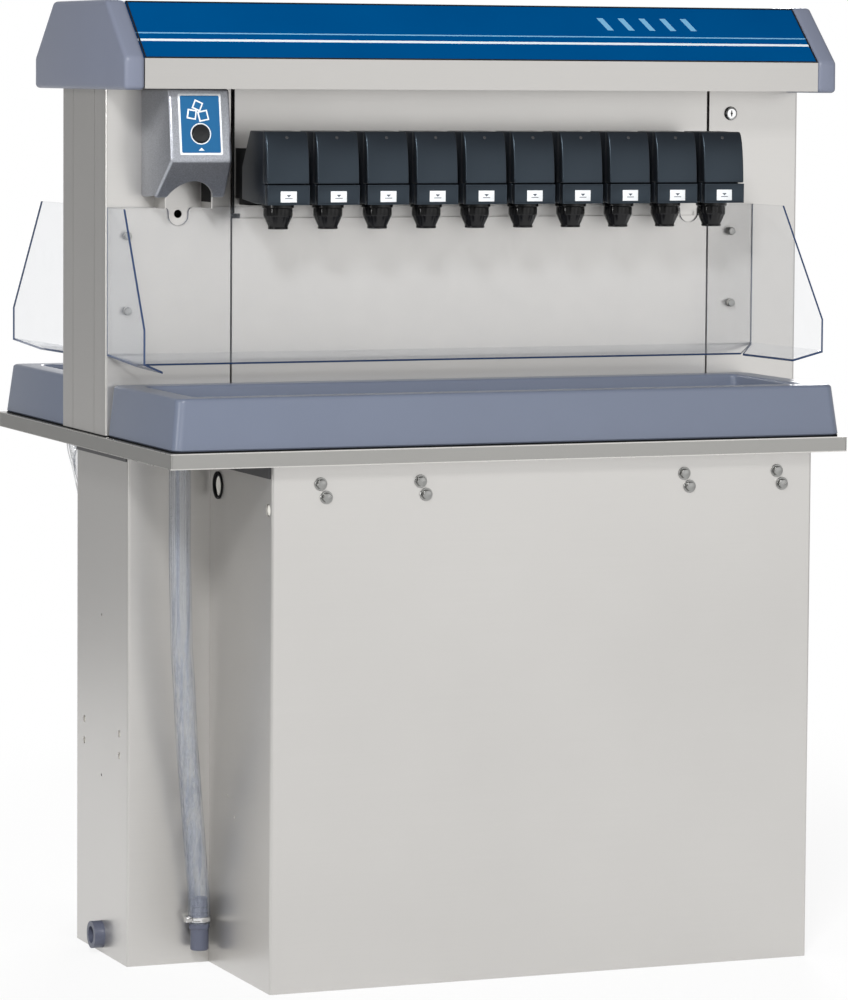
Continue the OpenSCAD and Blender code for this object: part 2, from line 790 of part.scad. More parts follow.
// Barb, hexagon and tail at the lower end of a hose
module hose_tails() {
  both_sides() translate([hose_low[0], -hose_low[1], 0]) difference() {
    union() {
      translate([0, 0, hose_end - 1]) cylinder(r = hose_r - 4, h = 39, $fn = fn_round);
      translate([0, 0, hose_end - 8]) cylinder(r = hose_r, h = 8, $fn = 6);
      translate([0, 0, hose_end - 8 - tail_l]) cylinder(r = tail_r, h = tail_l + 1, $fn = fn_round);
    }
    translate([0, 0, hose_end - tail_l - 9]) cylinder(r = fitting_bore, h = 80, $fn = fn_round);
  }
}

module hose_clamps() {
  both_sides() translate([hose_low[0], -hose_low[1], hose_end + 3]) {
    difference() {
      union() {
        cylinder(r = hose_r + 1.4, h = 8, $fn = fn_round);
        translate([-hose_r - 6, -4, 1]) cube([7, 8, 6]);
      }
      translate([0, 0, -1]) cylinder(r = hose_r + 0.3, h = 10, $fn = fn_round);
    }
  }
}

module hose_fittings() {
  color(pvc) hose_tails();
  color([0.85, 0.85, 0.84]) hose_clamps();
}

module tower_base() {
  color(steel) translate([0, 0, base_z]) linear_extrude(sheet_t) difference() {
    round_rect(tower_w - 2 * sheet_t, tower_d - 2 * sheet_t, bend_r - sheet_t);
    translate([cab_x, 0]) square([throat_w, throat_d], center = true);
    translate([lift_at, 0]) circle(r = lift_r + 2, $fn = fn_round);
  }
}

// A stretch of the tower's folded skin, between two places along X and two across
module skin(x0, x1, y0, y1, z0, z1) {
  translate([0, 0, z0]) linear_extrude(z1 - z0) intersection() {
    folded_outline(tower_w, tower_d);
    translate([x0, y0]) square([x1 - x0, y1 - y0]);
  }
}

// An upright flange turned in from the front face at a seam
module turned_edge(x, z0, z1) {
  box([x, -face + sheet_t - eps, z0], [x + sheet_t, -face + flange_w, z1]);
}

module side_covers() {
  edge = side_edge - side_gap / 2;
  color(steel) {
    skin(-tower_w, -tower_w / 2 + sheet_t, -edge, edge, base_z, tower_top);
    skin(tower_w / 2 - sheet_t, tower_w, -edge, edge, base_z, tower_top);
    for (sx = [-1, 1], sy = [-1, 1])
      translate([sx * (tower_w / 2 - sheet_t - 3) - 3, sy * edge - (sy + 1) / 2 * sheet_t, base_z + sheet_t])
        cube([6, sheet_t, tower_top - base_z - sheet_t]);
  }
}

module ice_columns() {
  x1 = seam_left_x - panel_gap / 2;
  both_sides() difference() {
    union() {
      skin(-tower_w, x1, -tower_d, -side_edge - side_gap / 2, base_z, tower_top);
      turned_edge(x1 - sheet_t, base_z + sheet_t, tower_top);
    }
    box([chute_x - window_half, -face - 1, window_z],
      [chute_x + window_half, -face + 3, window_z + window_h]);
    on_face(chute_x, 1, deck_top_z + guard_top - 10) mirror([0, 1, 0]) rod_y(6, 5);
    for (k = [0, 1]) on_face(thumb_sites[0], 1, deck_top_z + thumb_z - k * thumb_pitch)
      mirror([0, 1, 0]) rod_y(2.8, 5);
  }
}

module switch_columns() {
  x0 = seam_right_x + panel_gap / 2;
  difference() {
    both_sides() difference() {
      union() {
        skin(x0, tower_w, -tower_d, -side_edge - side_gap / 2, base_z, tower_top);
        turned_edge(x0, base_z + sheet_t, tower_top);
      }
      for (k = [0, 1]) on_face(thumb_sites[1], 1, deck_top_z + thumb_z - k * thumb_pitch)
        mirror([0, 1, 0]) rod_y(2.8, 5);
    }
    on_face(key_x, 1, deck_top_z + key_z) mirror([0, 1, 0]) rod_y(key_r - 1, 5);
  }
}

module column_panels() {
  color(steel) {
    ice_columns();
    switch_columns();
  }
}

module valve_panels() {
  x0 = seam_left_x + panel_gap / 2;
  x1 = seam_right_x - panel_gap / 2;
  z0 = deck_top_z + reveal_z + reveal_h;
  color(steel) both_sides() {
    skin(x0, x1, -tower_d, 0, z0, tower_top);
    turned_edge(x0, z0, tower_top);
    turned_edge(x1 - sheet_t, z0, tower_top);
    box([x0, -face + sheet_t - eps, z0], [x1, -face + reveal_step - 0.5, z0 + sheet_t]);
  }
}

module splash_panels() {
  x0 = seam_left_x + panel_gap / 2;
  x1 = seam_right_x - panel_gap / 2;
  z1 = deck_top_z + reveal_z;
  color(steel) both_sides() {
    skin(x0, x1, -tower_d, 0, base_z, z1);
    turned_edge(x0, base_z + sheet_t, z1);
    turned_edge(x1 - sheet_t, base_z + sheet_t, z1);
    box([x0, -face + sheet_t - eps, z1 - sheet_t], [x1, -face + reveal_step + sheet_t, z1]);
    box([x0 + flange_w, -face + reveal_step, z1 - eps],
      [x1 - flange_w, -face + reveal_step + sheet_t, z1 + reveal_h + 18]);
  }
}

// Sloping lip along the foot of one guard's back sheet, mitred at both ends
module guard_lip(m) {
  intersection() {
    on_face(deck_x, 0, 0) profile_x(guard_w, [[0, guard_foot - 1], [0, guard_foot + 3],
      [guard_t, guard_foot + 2], [lip_out + 1, guard_foot - lip_drop + 3], [lip_out, guard_foot - lip_drop]]);
    translate([0, -face, guard_foot - 30]) linear_extrude(60)
      polygon([[guard_l + m, 0], [guard_r - m, 0], [guard_r - m, -1], [guard_r - lip_out - 2, -lip_out - 2],
        [guard_l + lip_out + 2, -lip_out - 2], [guard_l + m, -1]]);
  }
}

// One wing with the flap folded in under it, drawn with its fold at the origin and on the right
module guard_wing() {
  fold = atan(lip_drop / lip_out);
  rotate(wing_splay) {
    translate([-guard_t / 2, 0, 0]) profile_x(guard_t, [[0, guard_top - guard_fold], [wing_top_d, guard_top - guard_fold],
      [wing_front_d, wing_front_h], [wing_front_d, 0], [0, 0]]);
    intersection() {
      translate([0, 0, -40]) linear_extrude(60)
        polygon([[0, -mitre_gap - 1], [0, -wing_front_d], [-flap_w, flap_back - wing_front_d],
          [-flap_w, -flap_w - mitre_gap]]);
      rotate([0, -fold, 0]) translate([-60, -wing_front_d - 10, 0]) cube([60.5, wing_front_d + 10, guard_t]);
    }
  }
}

// Folded back sheet and lip of one splash guard, with its two folded wings bonded to the ends
module splash_guard() {
  top = deck_top_z + guard_top;
  t = guard_t;
  inset = t / cos(wing_splay) + seat_gap;
  for (side = [0, 1]) translate([deck_x, -face, guard_foot]) mirror([side, 0, 0])
    translate([guard_w / 2, 0, 0]) guard_wing();
  difference() {
    union() {
      box([guard_l + inset, -face - t, guard_foot], [guard_r - inset, -face, top]);
      guard_lip(inset);
    }
    for (x = [chute_x, valve_x0 + 9.2 * valve_pitch])
      on_face(x, t + 1, top) {
        translate([0, 0, notch_r - notch_depth]) mirror([0, 1, 0]) rod_y(notch_r, t + 2);
        translate([-notch_r, 0, notch_r - notch_depth]) cube([2 * notch_r, t + 2, notch_depth]);
        for (s = [-1, 1]) translate([s * (notch_r + notch_ease), 0, -notch_ease]) difference() {
          translate([s > 0 ? -notch_ease - 1 : 0, 0, 0]) cube([notch_ease + 1, t + 2, notch_ease + 1]);
          translate([0, -1, 0]) mirror([0, 1, 0]) rod_y(notch_ease, t + 4);
        }
      }
    for (x = thumb_sites, k = [0, 1])
      on_face(x, t + 1, deck_top_z + thumb_z - k * thumb_pitch) mirror([0, 1, 0]) rod_y(2.8, t + 2);
  }
}

module splash_guards() {
  color([0.75, 0.80, 0.88, 0.35]) both_sides() splash_guard();
}

module thumb_screws() {
  both_sides()
    for (x = thumb_sites, k = [0, 1])
      on_face(x, guard_t, deck_top_z + thumb_z - k * thumb_pitch) {
        rod_y(thumb_r, thumb_l * 0.75);
        rod_y(thumb_r * 0.7, thumb_l);
        translate([0, 10, 0]) rod_y(2.5, 10.5);
      }
}

module fasteners() {
  color([0.80, 0.80, 0.79]) {
    cabinet_bolts();
    thumb_screws();
  }
}

// The canopy's section, grown by a margin
function canopy_section(m) = [[-canopy_d / 2 - m, tower_top - m], [-canopy_d / 2 - m, tower_top + band_h + m / 2],
  [-canopy_top_d / 2 - m / 2, canopy_top - cap_proud + m], [canopy_top_d / 2 + m / 2, canopy_top - cap_proud + m],
  [canopy_d / 2 + m, tower_top + band_h + m / 2], [canopy_d / 2 + m, tower_top - m]];

module canopy_shell() {
  l = canopy_w - 2 * cap_t;
  top = canopy_top - cap_proud;
  color(steel) {
    difference() {
      translate([0, 0, tower_top]) linear_extrude(sheet_t) square([l, canopy_d], center = true);
      translate([lift_at, 0, tower_top - 1]) cylinder(r = shaft_r + 3, h = 5, $fn = fn_round);
    }
    both_sides() {
      box([-l / 2, -canopy_d / 2, tower_top], [l / 2, -canopy_d / 2 + sheet_t, tower_top + band_h]);
      box([-l / 2, -canopy_d / 2, tower_top + band_h - sheet_t], [l / 2, -canopy_d / 2 + 9, tower_top + band_h]);
    }
    translate([0, 0, top - sheet_t]) linear_extrude(sheet_t) square([l, canopy_top_d], center = true);
    for (s = [-1, 1])
      translate([s * (l / 2 - sheet_t / 2), 0, 0]) profile_x(sheet_t,
        [[-canopy_d / 2 + 9, tower_top + sheet_t], [-canopy_d / 2 + 9, tower_top + band_h],
          [-canopy_top_d / 2 + graphic_t, top - sheet_t], [canopy_top_d / 2 - graphic_t, top - sheet_t],
          [canopy_d / 2 - 9, tower_top + band_h], [canopy_d / 2 - 9, tower_top + sheet_t]]);
  }
}

// The sloping coloured panels between the band and the flat top
module canopy_panels() {
  l = canopy_w - 2 * cap_t;
  top = canopy_top - cap_proud;
  y0 = canopy_d / 2;
  y1 = canopy_top_d / 2;
  z0 = tower_top + band_h;
  color(signal_blue) both_sides() mirror([0, 1, 0])
    profile_x(l, [[-y0, z0], [-y1, top], [-y1, top - sheet_t], [-y1 + graphic_t, top - sheet_t], [-y0 + 9, z0]]);
}

// The two moulded ends, recessed underneath where they sit over the tower
module canopy_caps() {
  color(slate) difference() {
    for (side = [0, 1]) mirror([side, 0, 0])
      translate([-canopy_w / 2, 0, 0]) rotate([90, 0, 90]) hull() {
        linear_extrude(eps) offset(delta = -cap_round) polygon(canopy_section(cap_proud));
        translate([0, 0, cap_round * 0.3]) linear_extrude(eps)
          offset(delta = -cap_round * 0.3) polygon(canopy_section(cap_proud));
        translate([0, 0, cap_round]) linear_extrude(cap_t - cap_round) polygon(canopy_section(cap_proud));
      }
    box([-tower_w / 2 - seat_gap, -face - seat_gap, tower_top - cap_proud - 1],
      [tower_w / 2 + seat_gap, face + seat_gap, tower_top]);
  }
}

module tube_shell() {
  translate([lift_at, 0, 0]) difference() {
    translate([0, 0, sheet_t]) cylinder(r = lift_r, h = tower_top - sheet_t, $fn = fn_round);
    translate([0, 0, sheet_t + lift_t]) cylinder(r = lift_r - lift_t, h = tower_top, $fn = fn_round);
    box([0, -inlet_w / 2, inlet_z], [lift_r + 1, inlet_w / 2, inlet_z + inlet_h]);
    box([chute_x - lift_at - window_half, -lift_r - 1, window_z],
      [chute_x - lift_at + window_half, lift_r + 1, window_z + window_h]);
    translate([-lift_r - 5, 0, drain_z]) rod_x(drain_r + 0.2, 20);
  }
}

// Spider bush in the foot of the tube that carries the auger's shaft
module lift_bush() {
  translate([lift_at, 0, sheet_t + lift_t + seat_gap]) difference() {
    cylinder(r = lift_r - lift_t - seat_gap, h = 12, $fn = fn_round);
    translate([0, 0, -1]) cylinder(r = shaft_r + run_gap, h = 14, $fn = fn_round);
    for (a = [0 : 60 : 300]) rotate(a) translate([32, 0, -1]) cylinder(r = 10, h = 14, $fn = fn_round);
  }
}

module lift_tube() {
  color([0.85, 0.86, 0.88]) {
    tube_shell();
    lift_bush();
  }
}

// Screw flight of the auger, as a four-cornered band wound round the shaft
module flight(r0, r1, z0, z1, pitch, t, steps = 16) {
  n = floor((z1 - z0) / pitch * steps);
  points = [for (i = [0 : n]) let (a = 360 * i / steps, z = z0 + pitch * i / steps)
    each [[r0 * cos(a), r0 * sin(a), z], [r1 * cos(a), r1 * sin(a), z],
      [r1 * cos(a), r1 * sin(a), z + t], [r0 * cos(a), r0 * sin(a), z + t]]];
  faces = concat([[0, 2, 1], [0, 3, 2]],
    [for (i = [0 : n - 1], k = [0 : 3]) let (a = 4 * i + k, b = 4 * i + (k + 1) % 4)
      each [[a, b + 4, a + 4], [a, b, b + 4]]],
    [[4 * n, 4 * n + 1, 4 * n + 2], [4 * n, 4 * n + 2, 4 * n + 3]]);
  polyhedron(points, faces);
}

module lift_auger() {
  color([0.82, 0.82, 0.83]) translate([lift_at, 0, 0]) {
    translate([0, 0, sheet_t + lift_t + 0.5])
      cylinder(r = shaft_r, h = tower_top + sheet_t + 20 - sheet_t - lift_t - 0.5, $fn = fn_round);
    flight(shaft_r + 0.3, lift_r - lift_t - flight_gap, drain_z + drain_r + 8,
      window_z + window_h * 0.6, flight_pitch, flight_t);
  }
}

module lift_gearmotor() {
  z = tower_top + sheet_t;
  color(dark_steel) translate([lift_at, 0, z]) difference() {
    union() {
      linear_extrude(gearbox_h) round_rect(gearbox_w, gearbox_w, 8);
      translate([0, 0, gearbox_h]) cylinder(r = motor_r, h = canopy_h - gearbox_h - 14, $fn = fn_round);
    }
    translate([0, 0, -1]) cylinder(r = shaft_r + run_gap, h = 23, $fn = fn_round);
  }
}

// Stainless chute that guides the ice down into a cup, with its throat back to the lift
module ice_chutes() {
  t = sheet_t;
  top = chute_z + chute_h;
  h = chute_half;
  color([0.80, 0.80, 0.80]) both_sides() {
    difference() {
      box([chute_x - h, -face - chute_d, chute_z], [chute_x + h, -face - 0.2, top]);
      box([chute_x - h + t, -face - chute_d + t, chute_z - 1], [chute_x + h - t, -face - t, top - t]);
      box([chute_x - window_half, -face - chute_d / 2, window_z],
        [chute_x + window_half, -face + 1, window_z + window_h]);
      on_face(chute_x - chute_half - 1, -door_line, window_z + window_h)
        rod_x(door_t / 2 + run_gap, 2 * chute_half + 2);
      box([chute_x - h + t, -face - chute_d - 1, chute_z - 1], [chute_x + h - t, -face - chute_d / 2, chute_z + chute_open]);
      box([chute_x - h - 1, -face - guard_t - seat_gap, chute_z - 1],
        [chute_x + h + 1, -face + 1, deck_top_z + guard_top + seat_gap]);
    }
    difference() {
      box([chute_x - window_half - t, -face + sheet_t, window_z - t],
        [chute_x + window_half + t, -lift_r + 20, window_z + window_h + t]);
      box([chute_x - window_half, -face, window_z], [chute_x + window_half, 0, window_z + window_h]);
      translate([lift_at, 0, window_z - 10]) cylinder(r = lift_r + 0.2, h = window_h + 20, $fn = fn_round);
    }
  }
}

// Moves to the ice button's place on the chute cover's leaning face
module at_button() {
  on_face(chute_x, button_d, button_z) rotate([-hood_lean, 0, 0]) children();
}

// Outer form of the chute cover, drawn in by its wall for the hollow
module hood_form(m) {
  r = hood_round;
  hull() {
    on_face(chute_x, 0, 0) translate([-hood_back + m, -0.5 - m, foot_z])
      cube([2 * (hood_back - m), 0.5 + m, hood_h - m]);
    for (s = [-1, 1]) {
      on_face(chute_x + s * (hood_front - r), hood_top_d - r, tower_top - m - 1)
        cylinder(r = r - m, h = 1, $fn = fn_soft);
      on_face(chute_x + s * (hood_front - r), hood_d - r, hood_face_z) sphere(r = r - m, $fn = fn_soft);
      on_face(chute_x + s * (hood_back - 3 - r), foot_d - r, foot_z + m)
        cylinder(r = r - m, h = 1, $fn = fn_soft);
    }
  }
}

module chute_cover() {
  difference() {
    hood_form(0);
    hood_form(hood_t);
    box([chute_x - hood_back + hood_t, -face - foot_d + hood_t + 1, foot_z - 1],
      [chute_x + hood_back - hood_t, -face + 1, foot_z + hood_t + 1]);
    translate([chute_x, -face + 1, foot_z + arch_rise - arch_r]) rotate([90, 0, 0])
      cylinder(r = arch_r, h = hood_d + 20, $fn = fn_round);
    at_button() translate([0, 20, 0]) rod_y(ice_button_r + 2 + run_gap, 40);
  }
}

module chute_covers() {
  color(silver_grey) both_sides() chute_cover();
}

// Flap over the window, hung from its top edge
module chute_door() {
  on_face(chute_x, 0, 0) {
    translate([-window_half - 3, door_line - door_t / 2, window_z - 4])
      cube([2 * window_half + 6, door_t, window_h + 4]);
    translate([0.5 - chute_half, door_line, window_z + window_h]) rod_x(door_t / 2, 2 * chute_half - 1);
  }
}

module chute_door_front() {
  color(ink) chute_door();
}

module chute_door_rear() {
  color(ink) mirror([0, 1, 0]) chute_door();
}

// Switch body behind each ice button, with its bright ring on the outside
module ice_switches() {
  both_sides()
    at_button() difference() {
      union() {
        translate([0, -0.05, 0]) rod_y(ice_button_r + 3.2, 2);
        translate([0, 26, 0]) rod_y(ice_button_r + 2, 26.5);
      }
      translate([0, 18, 0]) rod_y(ice_button_r + run_gap, 30);
    }
}

module ice_button() {
  at_button() {
    translate([0, 18 - push_travel - 1, 0]) rod_y(ice_button_r, 18 - push_travel);
    translate([0, -1, 0]) rotate([90, 0, 0]) rotate_extrude($fn = fn_round)
      polygon([[0, 0], [ice_button_r, 0], [ice_button_r, 1], [ice_button_r - 1.5, 2.6], [4, 3.2], [0, 3.2]]);
  }
}

module ice_button_front() {
  color(ink) ice_button();
}

module ice_button_rear() {
  color(ink) mirror([0, 1, 0]) ice_button();
}

// Repeats its children at each valve of the front side
module at_valves() {
  for (i = [0 : valve_n - 1]) translate([valve_x0 + i * valve_pitch, 0, 0]) children();
}

module supply_manifolds() {
  both_sides() translate([0, 0, base_z + sheet_t])
    box([valve_x0 - 20, -face + 10, 0], [valve_x0 + (valve_n - 1) * valve_pitch + 20, -face + 36, 26]);
}

module valve_feeds() {
  low = base_z + sheet_t + 26;
  high = valve_z + 40;
  both_sides() at_valves() for (s = [-1, 1])
    translate([s * 9, -face + 23, 0]) {
      translate([0, 0, low]) cylinder(r = 4, h = high - low, $fn = fn_soft);
      translate([0, 0, high]) sphere(r = 4, $fn = fn_soft);
      translate([0, 0, high]) rod_y(4, 23 - sheet_t);
    }
}

module product_lines() {
  color([0.78, 0.79, 0.80]) {
    supply_manifolds();
    valve_feeds();
  }
}

// Side view of a valve: points of depth and height, drawn in by a margin
function valve_side(m) =
  let (low = valve_z, top = valve_z + valve_h, front = valve_d, back = mount_d,
    arc = [for (a = [0 : 5]) let (f = a / 5)
      [front - m - 17 * (1 - cos(80 * f)) - 2 * f, seam_z + (top - m - seam_z) * sin(90 * f)]])
  concat([[back + m, low + 5], [back + m, top - 52], [back + 34 + m, top + 1 - m]],
    [for (k = [5 : -1 : 0]) arc[k]], [[front - m, low], [back + 60, low]]);

module valve_shape(m, w) {
  intersection() {
    profile_x(w, valve_side(m));
    translate([0, -valve_d / 2, 0]) linear_extrude(2000) round_rect(w, valve_d - 2 * m, 3.5);
  }
}

// One moulded cover, open underneath and where the push plate sits
module valve_cover() {
  cut = valve_d - 12;
  difference() {
    valve_shape(0, valve_w);
    intersection() {
      valve_shape(cover_t, valve_w - 2 * cover_t);
      box([-valve_w, -valve_d, valve_z - 1], [valve_w, 0, valve_z + valve_h]);
    }
    box([-valve_w / 2 + cover_t, -valve_d + 10, valve_z - 5],
      [valve_w / 2 - cover_t, -mount_d - cover_t, valve_z + 8]);
    box([-valve_w, -valve_d - 1, valve_z - 5], [valve_w, -cut + push_travel, seam_z]);
    box([-block_half - seat_gap, -mount_d - cover_t - 1, valve_z - 5],
      [block_half + seat_gap, -mount_d + 1, valve_z + 50 + seat_gap]);
  }
}

module valve_covers() {
  color(ink) both_sides() at_valves() on_face(0, 0, 0) valve_cover();
}

// Mounting block, base plate, collar and solenoid block of one valve
module valve_body() {
  half = valve_w / 2 - cover_t;
  union() {
    box([-25, -mount_d, valve_z + 6], [25, 0, valve_z + 78]);
    box([-19, -mount_d - 3, valve_z - 4], [19, 0, valve_z + 6]);
    box([-block_half, -mount_d - 20, valve_z + 12], [block_half, -mount_d, valve_z + 50]);
    box([-half, -valve_d + 26, valve_z], [half, -mount_d - cover_t, valve_z + 7]);
    box([-half + 8, -valve_d + 40, valve_z + 7], [half - 8, -mount_d - 12, valve_z + 66]);
  }
}

module valve_bodies() {
  color([0.10, 0.11, 0.13]) both_sides() at_valves() on_face(0, 0, 0) valve_body();
}

// Bayonet nozzle: flange, ribbed body, taper and outlet
module nozzle() {
  h = nozzle_h;
  difference() {
    rotate_extrude($fn = fn_round) polygon([[0, -h], [nozzle_tip_r - 0.5, -h], [nozzle_tip_r + 0.5, -h + 2],
      [nozzle_tip_r, -h + 3], [nozzle_r, -h + 2 + nozzle_taper], [nozzle_r, -nozzle_flange_h],
      [nozzle_flange_r, -nozzle_flange_h], [nozzle_flange_r, 0], [0, 0]]);
    translate([0, 0, -h - 1]) cylinder(r = nozzle_bore, h = 6, $fn = fn_round);
    translate([0, 0, -h + 4]) rotate_extrude($fn = fn_round)
      polygon([[0, 0], [nozzle_bore, 0], [nozzle_r - 3, nozzle_taper], [nozzle_r - 3, h - 6], [0, h - 6]]);
  }
}

module valve_nozzles() {
  color([0.06, 0.06, 0.07]) both_sides() at_valves() on_face(0, nozzle_d, valve_z) nozzle();
}

// Push plate with its side flanges and the stem that works the switch; side is 0 at the front
module push_plate(i, side) {
  half = valve_w / 2;
  back = valve_d - 11.5;
  z1 = seam_z - 0.6;
  color([0.16, 0.18, 0.21]) mirror([0, side, 0])
    translate([valve_x0 + (i - 1) * valve_pitch, -face, 0]) difference() {
      union() {
        box([-half, -valve_d, valve_z - 0.5], [half, -back, z1]);
        box([-4, -back, valve_z + 12], [4, -valve_d + 27 + push_travel, valve_z + 20]);
      }
      box([-half + 3, -valve_d + 3, valve_z - 1], [half - 3, -back + 1, valve_z + 10]);
      box([-half + 3, -valve_d + 3, valve_z + 22], [half - 3, -back + 1, z1 - 1.5]);
      box([-half + 4, -valve_d - 1, z1 - 3.4], [half - 4, -valve_d + 0.6, z1 - 2.4]);
    }
}

module control_box() {
  color([0.25, 0.26, 0.28])
    box([tower_w / 2 - sheet_t - control_w - 8, -control_d / 2, base_z + sheet_t],
      [tower_w / 2 - sheet_t - 8, control_d / 2, base_z + sheet_t + control_h]);
}

module key_switch() {
  on_face(key_x, 0, deck_top_z + key_z) difference() {
    union() {
      rotate([90, 0, 0]) rotate_extrude($fn = fn_round)
        polygon([[0, 0], [key_r, 0], [key_r, 1.5], [key_r - 1.5, 3.5], [0, 3.5]]);
      translate([0, 24, 0]) rod_y(key_r - 1.3, 24);
    }
    translate([0, 18, 0]) rod_y(plug_r + run_gap, 25);
  }
}

module switch_bodies() {
  color([0.85, 0.86, 0.87]) {
    ice_switches();
    key_switch();
  }
}

module key_plug() {
  color([0.75, 0.75, 0.76]) on_face(key_x, 0, deck_top_z + key_z) difference() {
    translate([0, 17.5, 0]) rod_y(plug_r, 21.5);
    translate([-0.9, -5, -4.5]) cube([1.8, 8, 9]);
  }
}

base_pan();
cabinet_panels();
insulation_boards();
bin_liner();
cold_plate();
support_frame();
bin_drain();
deck();
rubber_seals();
drip_trays();
cup_grilles();
drain_hose_front();
drain_hose_rear();
hose_fittings();
tower_base();
side_covers();
column_panels();
valve_panels();
splash_panels();
splash_guards();
fasteners();
canopy_shell();
canopy_panels();
canopy_caps();
lift_tube();
lift_auger();
lift_gearmotor();
ice_chutes();
chute_covers();
chute_door_front();
chute_door_rear();
switch_bodies();
ice_button_front();
ice_button_rear();
key_plug();
product_lines();
valve_bodies();
valve_covers();
valve_nozzles();
control_box();
push_plate(1, 0);  // push_plate_front_1
push_plate(2, 0);  // push_plate_front_2
push_plate(3, 0);  // push_plate_front_3
push_plate(4, 0);  // push_plate_front_4
push_plate(5, 0);  // push_plate_front_5
push_plate(6, 0);  // push_plate_front_6
push_plate(7, 0);  // push_plate_front_7
push_plate(8, 0);  // push_plate_front_8
push_plate(9, 0);  // push_plate_front_9
push_plate(10, 0);  // push_plate_front_10
push_plate(1, 1);  // push_plate_rear_1
push_plate(2, 1);  // push_plate_rear_2
push_plate(3, 1);  // push_plate_rear_3
push_plate(4, 1);  // push_plate_rear_4
push_plate(5, 1);  // push_plate_rear_5
push_plate(6, 1);  // push_plate_rear_6
push_plate(7, 1);  // push_plate_rear_7
push_plate(8, 1);  // push_plate_rear_8
push_plate(9, 1);  // push_plate_rear_9
push_plate(10, 1);  // push_plate_rear_10
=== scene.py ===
# Dresses the packed ice and beverage dispenser: finishes, moulded covers, labels, hoses, camera and light.
# Lengths are metres in the part's own frame: X along the counter, the photographed front at -Y, Z up.
import math
import bpy
import bmesh
from mathutils import Matrix, Vector


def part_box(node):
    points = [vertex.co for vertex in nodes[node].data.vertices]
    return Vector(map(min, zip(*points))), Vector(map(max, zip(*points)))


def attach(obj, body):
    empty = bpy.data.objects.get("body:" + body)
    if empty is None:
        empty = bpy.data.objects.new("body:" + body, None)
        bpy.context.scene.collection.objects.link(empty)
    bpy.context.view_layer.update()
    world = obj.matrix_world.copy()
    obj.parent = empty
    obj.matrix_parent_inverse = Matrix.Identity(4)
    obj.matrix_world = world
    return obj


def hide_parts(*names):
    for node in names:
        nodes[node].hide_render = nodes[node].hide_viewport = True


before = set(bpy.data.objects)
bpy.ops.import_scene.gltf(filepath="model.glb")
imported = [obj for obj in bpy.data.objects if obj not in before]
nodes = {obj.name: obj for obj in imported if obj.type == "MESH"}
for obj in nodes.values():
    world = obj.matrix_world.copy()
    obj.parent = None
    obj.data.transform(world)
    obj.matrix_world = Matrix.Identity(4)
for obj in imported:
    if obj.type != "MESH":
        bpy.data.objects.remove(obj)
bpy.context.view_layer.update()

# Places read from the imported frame
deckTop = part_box("deck")[1].z
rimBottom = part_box("deck")[0].z
towerFace = -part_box("valve_panels")[0].y
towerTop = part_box("column_panels")[1].z
trayLow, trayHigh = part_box("drip_trays")
capLow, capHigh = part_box("canopy_caps")
panelLow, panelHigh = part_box("canopy_panels")

cabinetLeft = -0.399              # the left side's face
sides = {"front": -1, "rear": 1}  # sign of Y on each side


# Camera
camera = {
    "place": (-2.5795, -6.357, 1.3037),
    "lens": 164.4,        # mm on a 36 mm long side
    "turn": 21.958,       # degrees towards +X
    "tilt": 4.151,        # degrees downwards
    "roll": 0.374,
    "shift": -0.1,
}


def makeCamera():
    turn, tilt, roll = (math.radians(camera[k]) for k in ("turn", "tilt", "roll"))
    ahead = Vector((math.sin(turn) * math.cos(tilt), math.cos(turn) * math.cos(tilt), -math.sin(tilt)))
    right = Vector((math.cos(turn), -math.sin(turn), 0))
    up = right.cross(ahead)
    tiltedRight = math.cos(roll) * right + math.sin(roll) * up
    tiltedUp = math.cos(roll) * up - math.sin(roll) * right
    data = bpy.data.cameras.new("camera")
    data.lens, data.sensor_width = camera["lens"], 36
    data.shift_y = camera["shift"]
    data.clip_end = 100
    lookout = bpy.data.objects.new("camera", data)
    axes = Matrix((tiltedRight, tiltedUp, -ahead)).transposed().to_4x4()
    lookout.matrix_world = Matrix.Translation(camera["place"]) @ axes
    bpy.context.scene.collection.objects.link(lookout)
    bpy.context.scene.camera = lookout


makeCamera()
print("camera set")


# Shader maths: a Wire is one socket, and + - * / on it add Math nodes
class Wire:
    def __init__(self, tree, socket):
        self.tree, self.socket = tree, socket

    def maths(self, operation, other, swapped=False):
        made = self.tree.nodes.new("ShaderNodeMath")
        made.operation = operation
        pair = (other, self) if swapped else (self, other)
        for slot, value in zip(made.inputs, pair):
            if isinstance(value, Wire):
                self.tree.links.new(value.socket, slot)
            elif value is not None:
                slot.default_value = value
        return Wire(self.tree, made.outputs[0])

    def __add__(self, other):
        return self.maths("ADD", other)

    def __radd__(self, other):
        return self.maths("ADD", other)

    def __sub__(self, other):
        return self.maths("SUBTRACT", other)

    def __rsub__(self, other):
        return self.maths("SUBTRACT", other, True)

    def __mul__(self, other):
        return self.maths("MULTIPLY", other)

    def __rmul__(self, other):
        return self.maths("MULTIPLY", other)

    def __truediv__(self, other):
        return self.maths("DIVIDE", other)

    def __lt__(self, other):
        return self.maths("LESS_THAN", other)

    def size(self):
        return self.maths("ABSOLUTE", None)

    def kept(self, low, high):
        return self.maths("MAXIMUM", low).maths("MINIMUM", high)


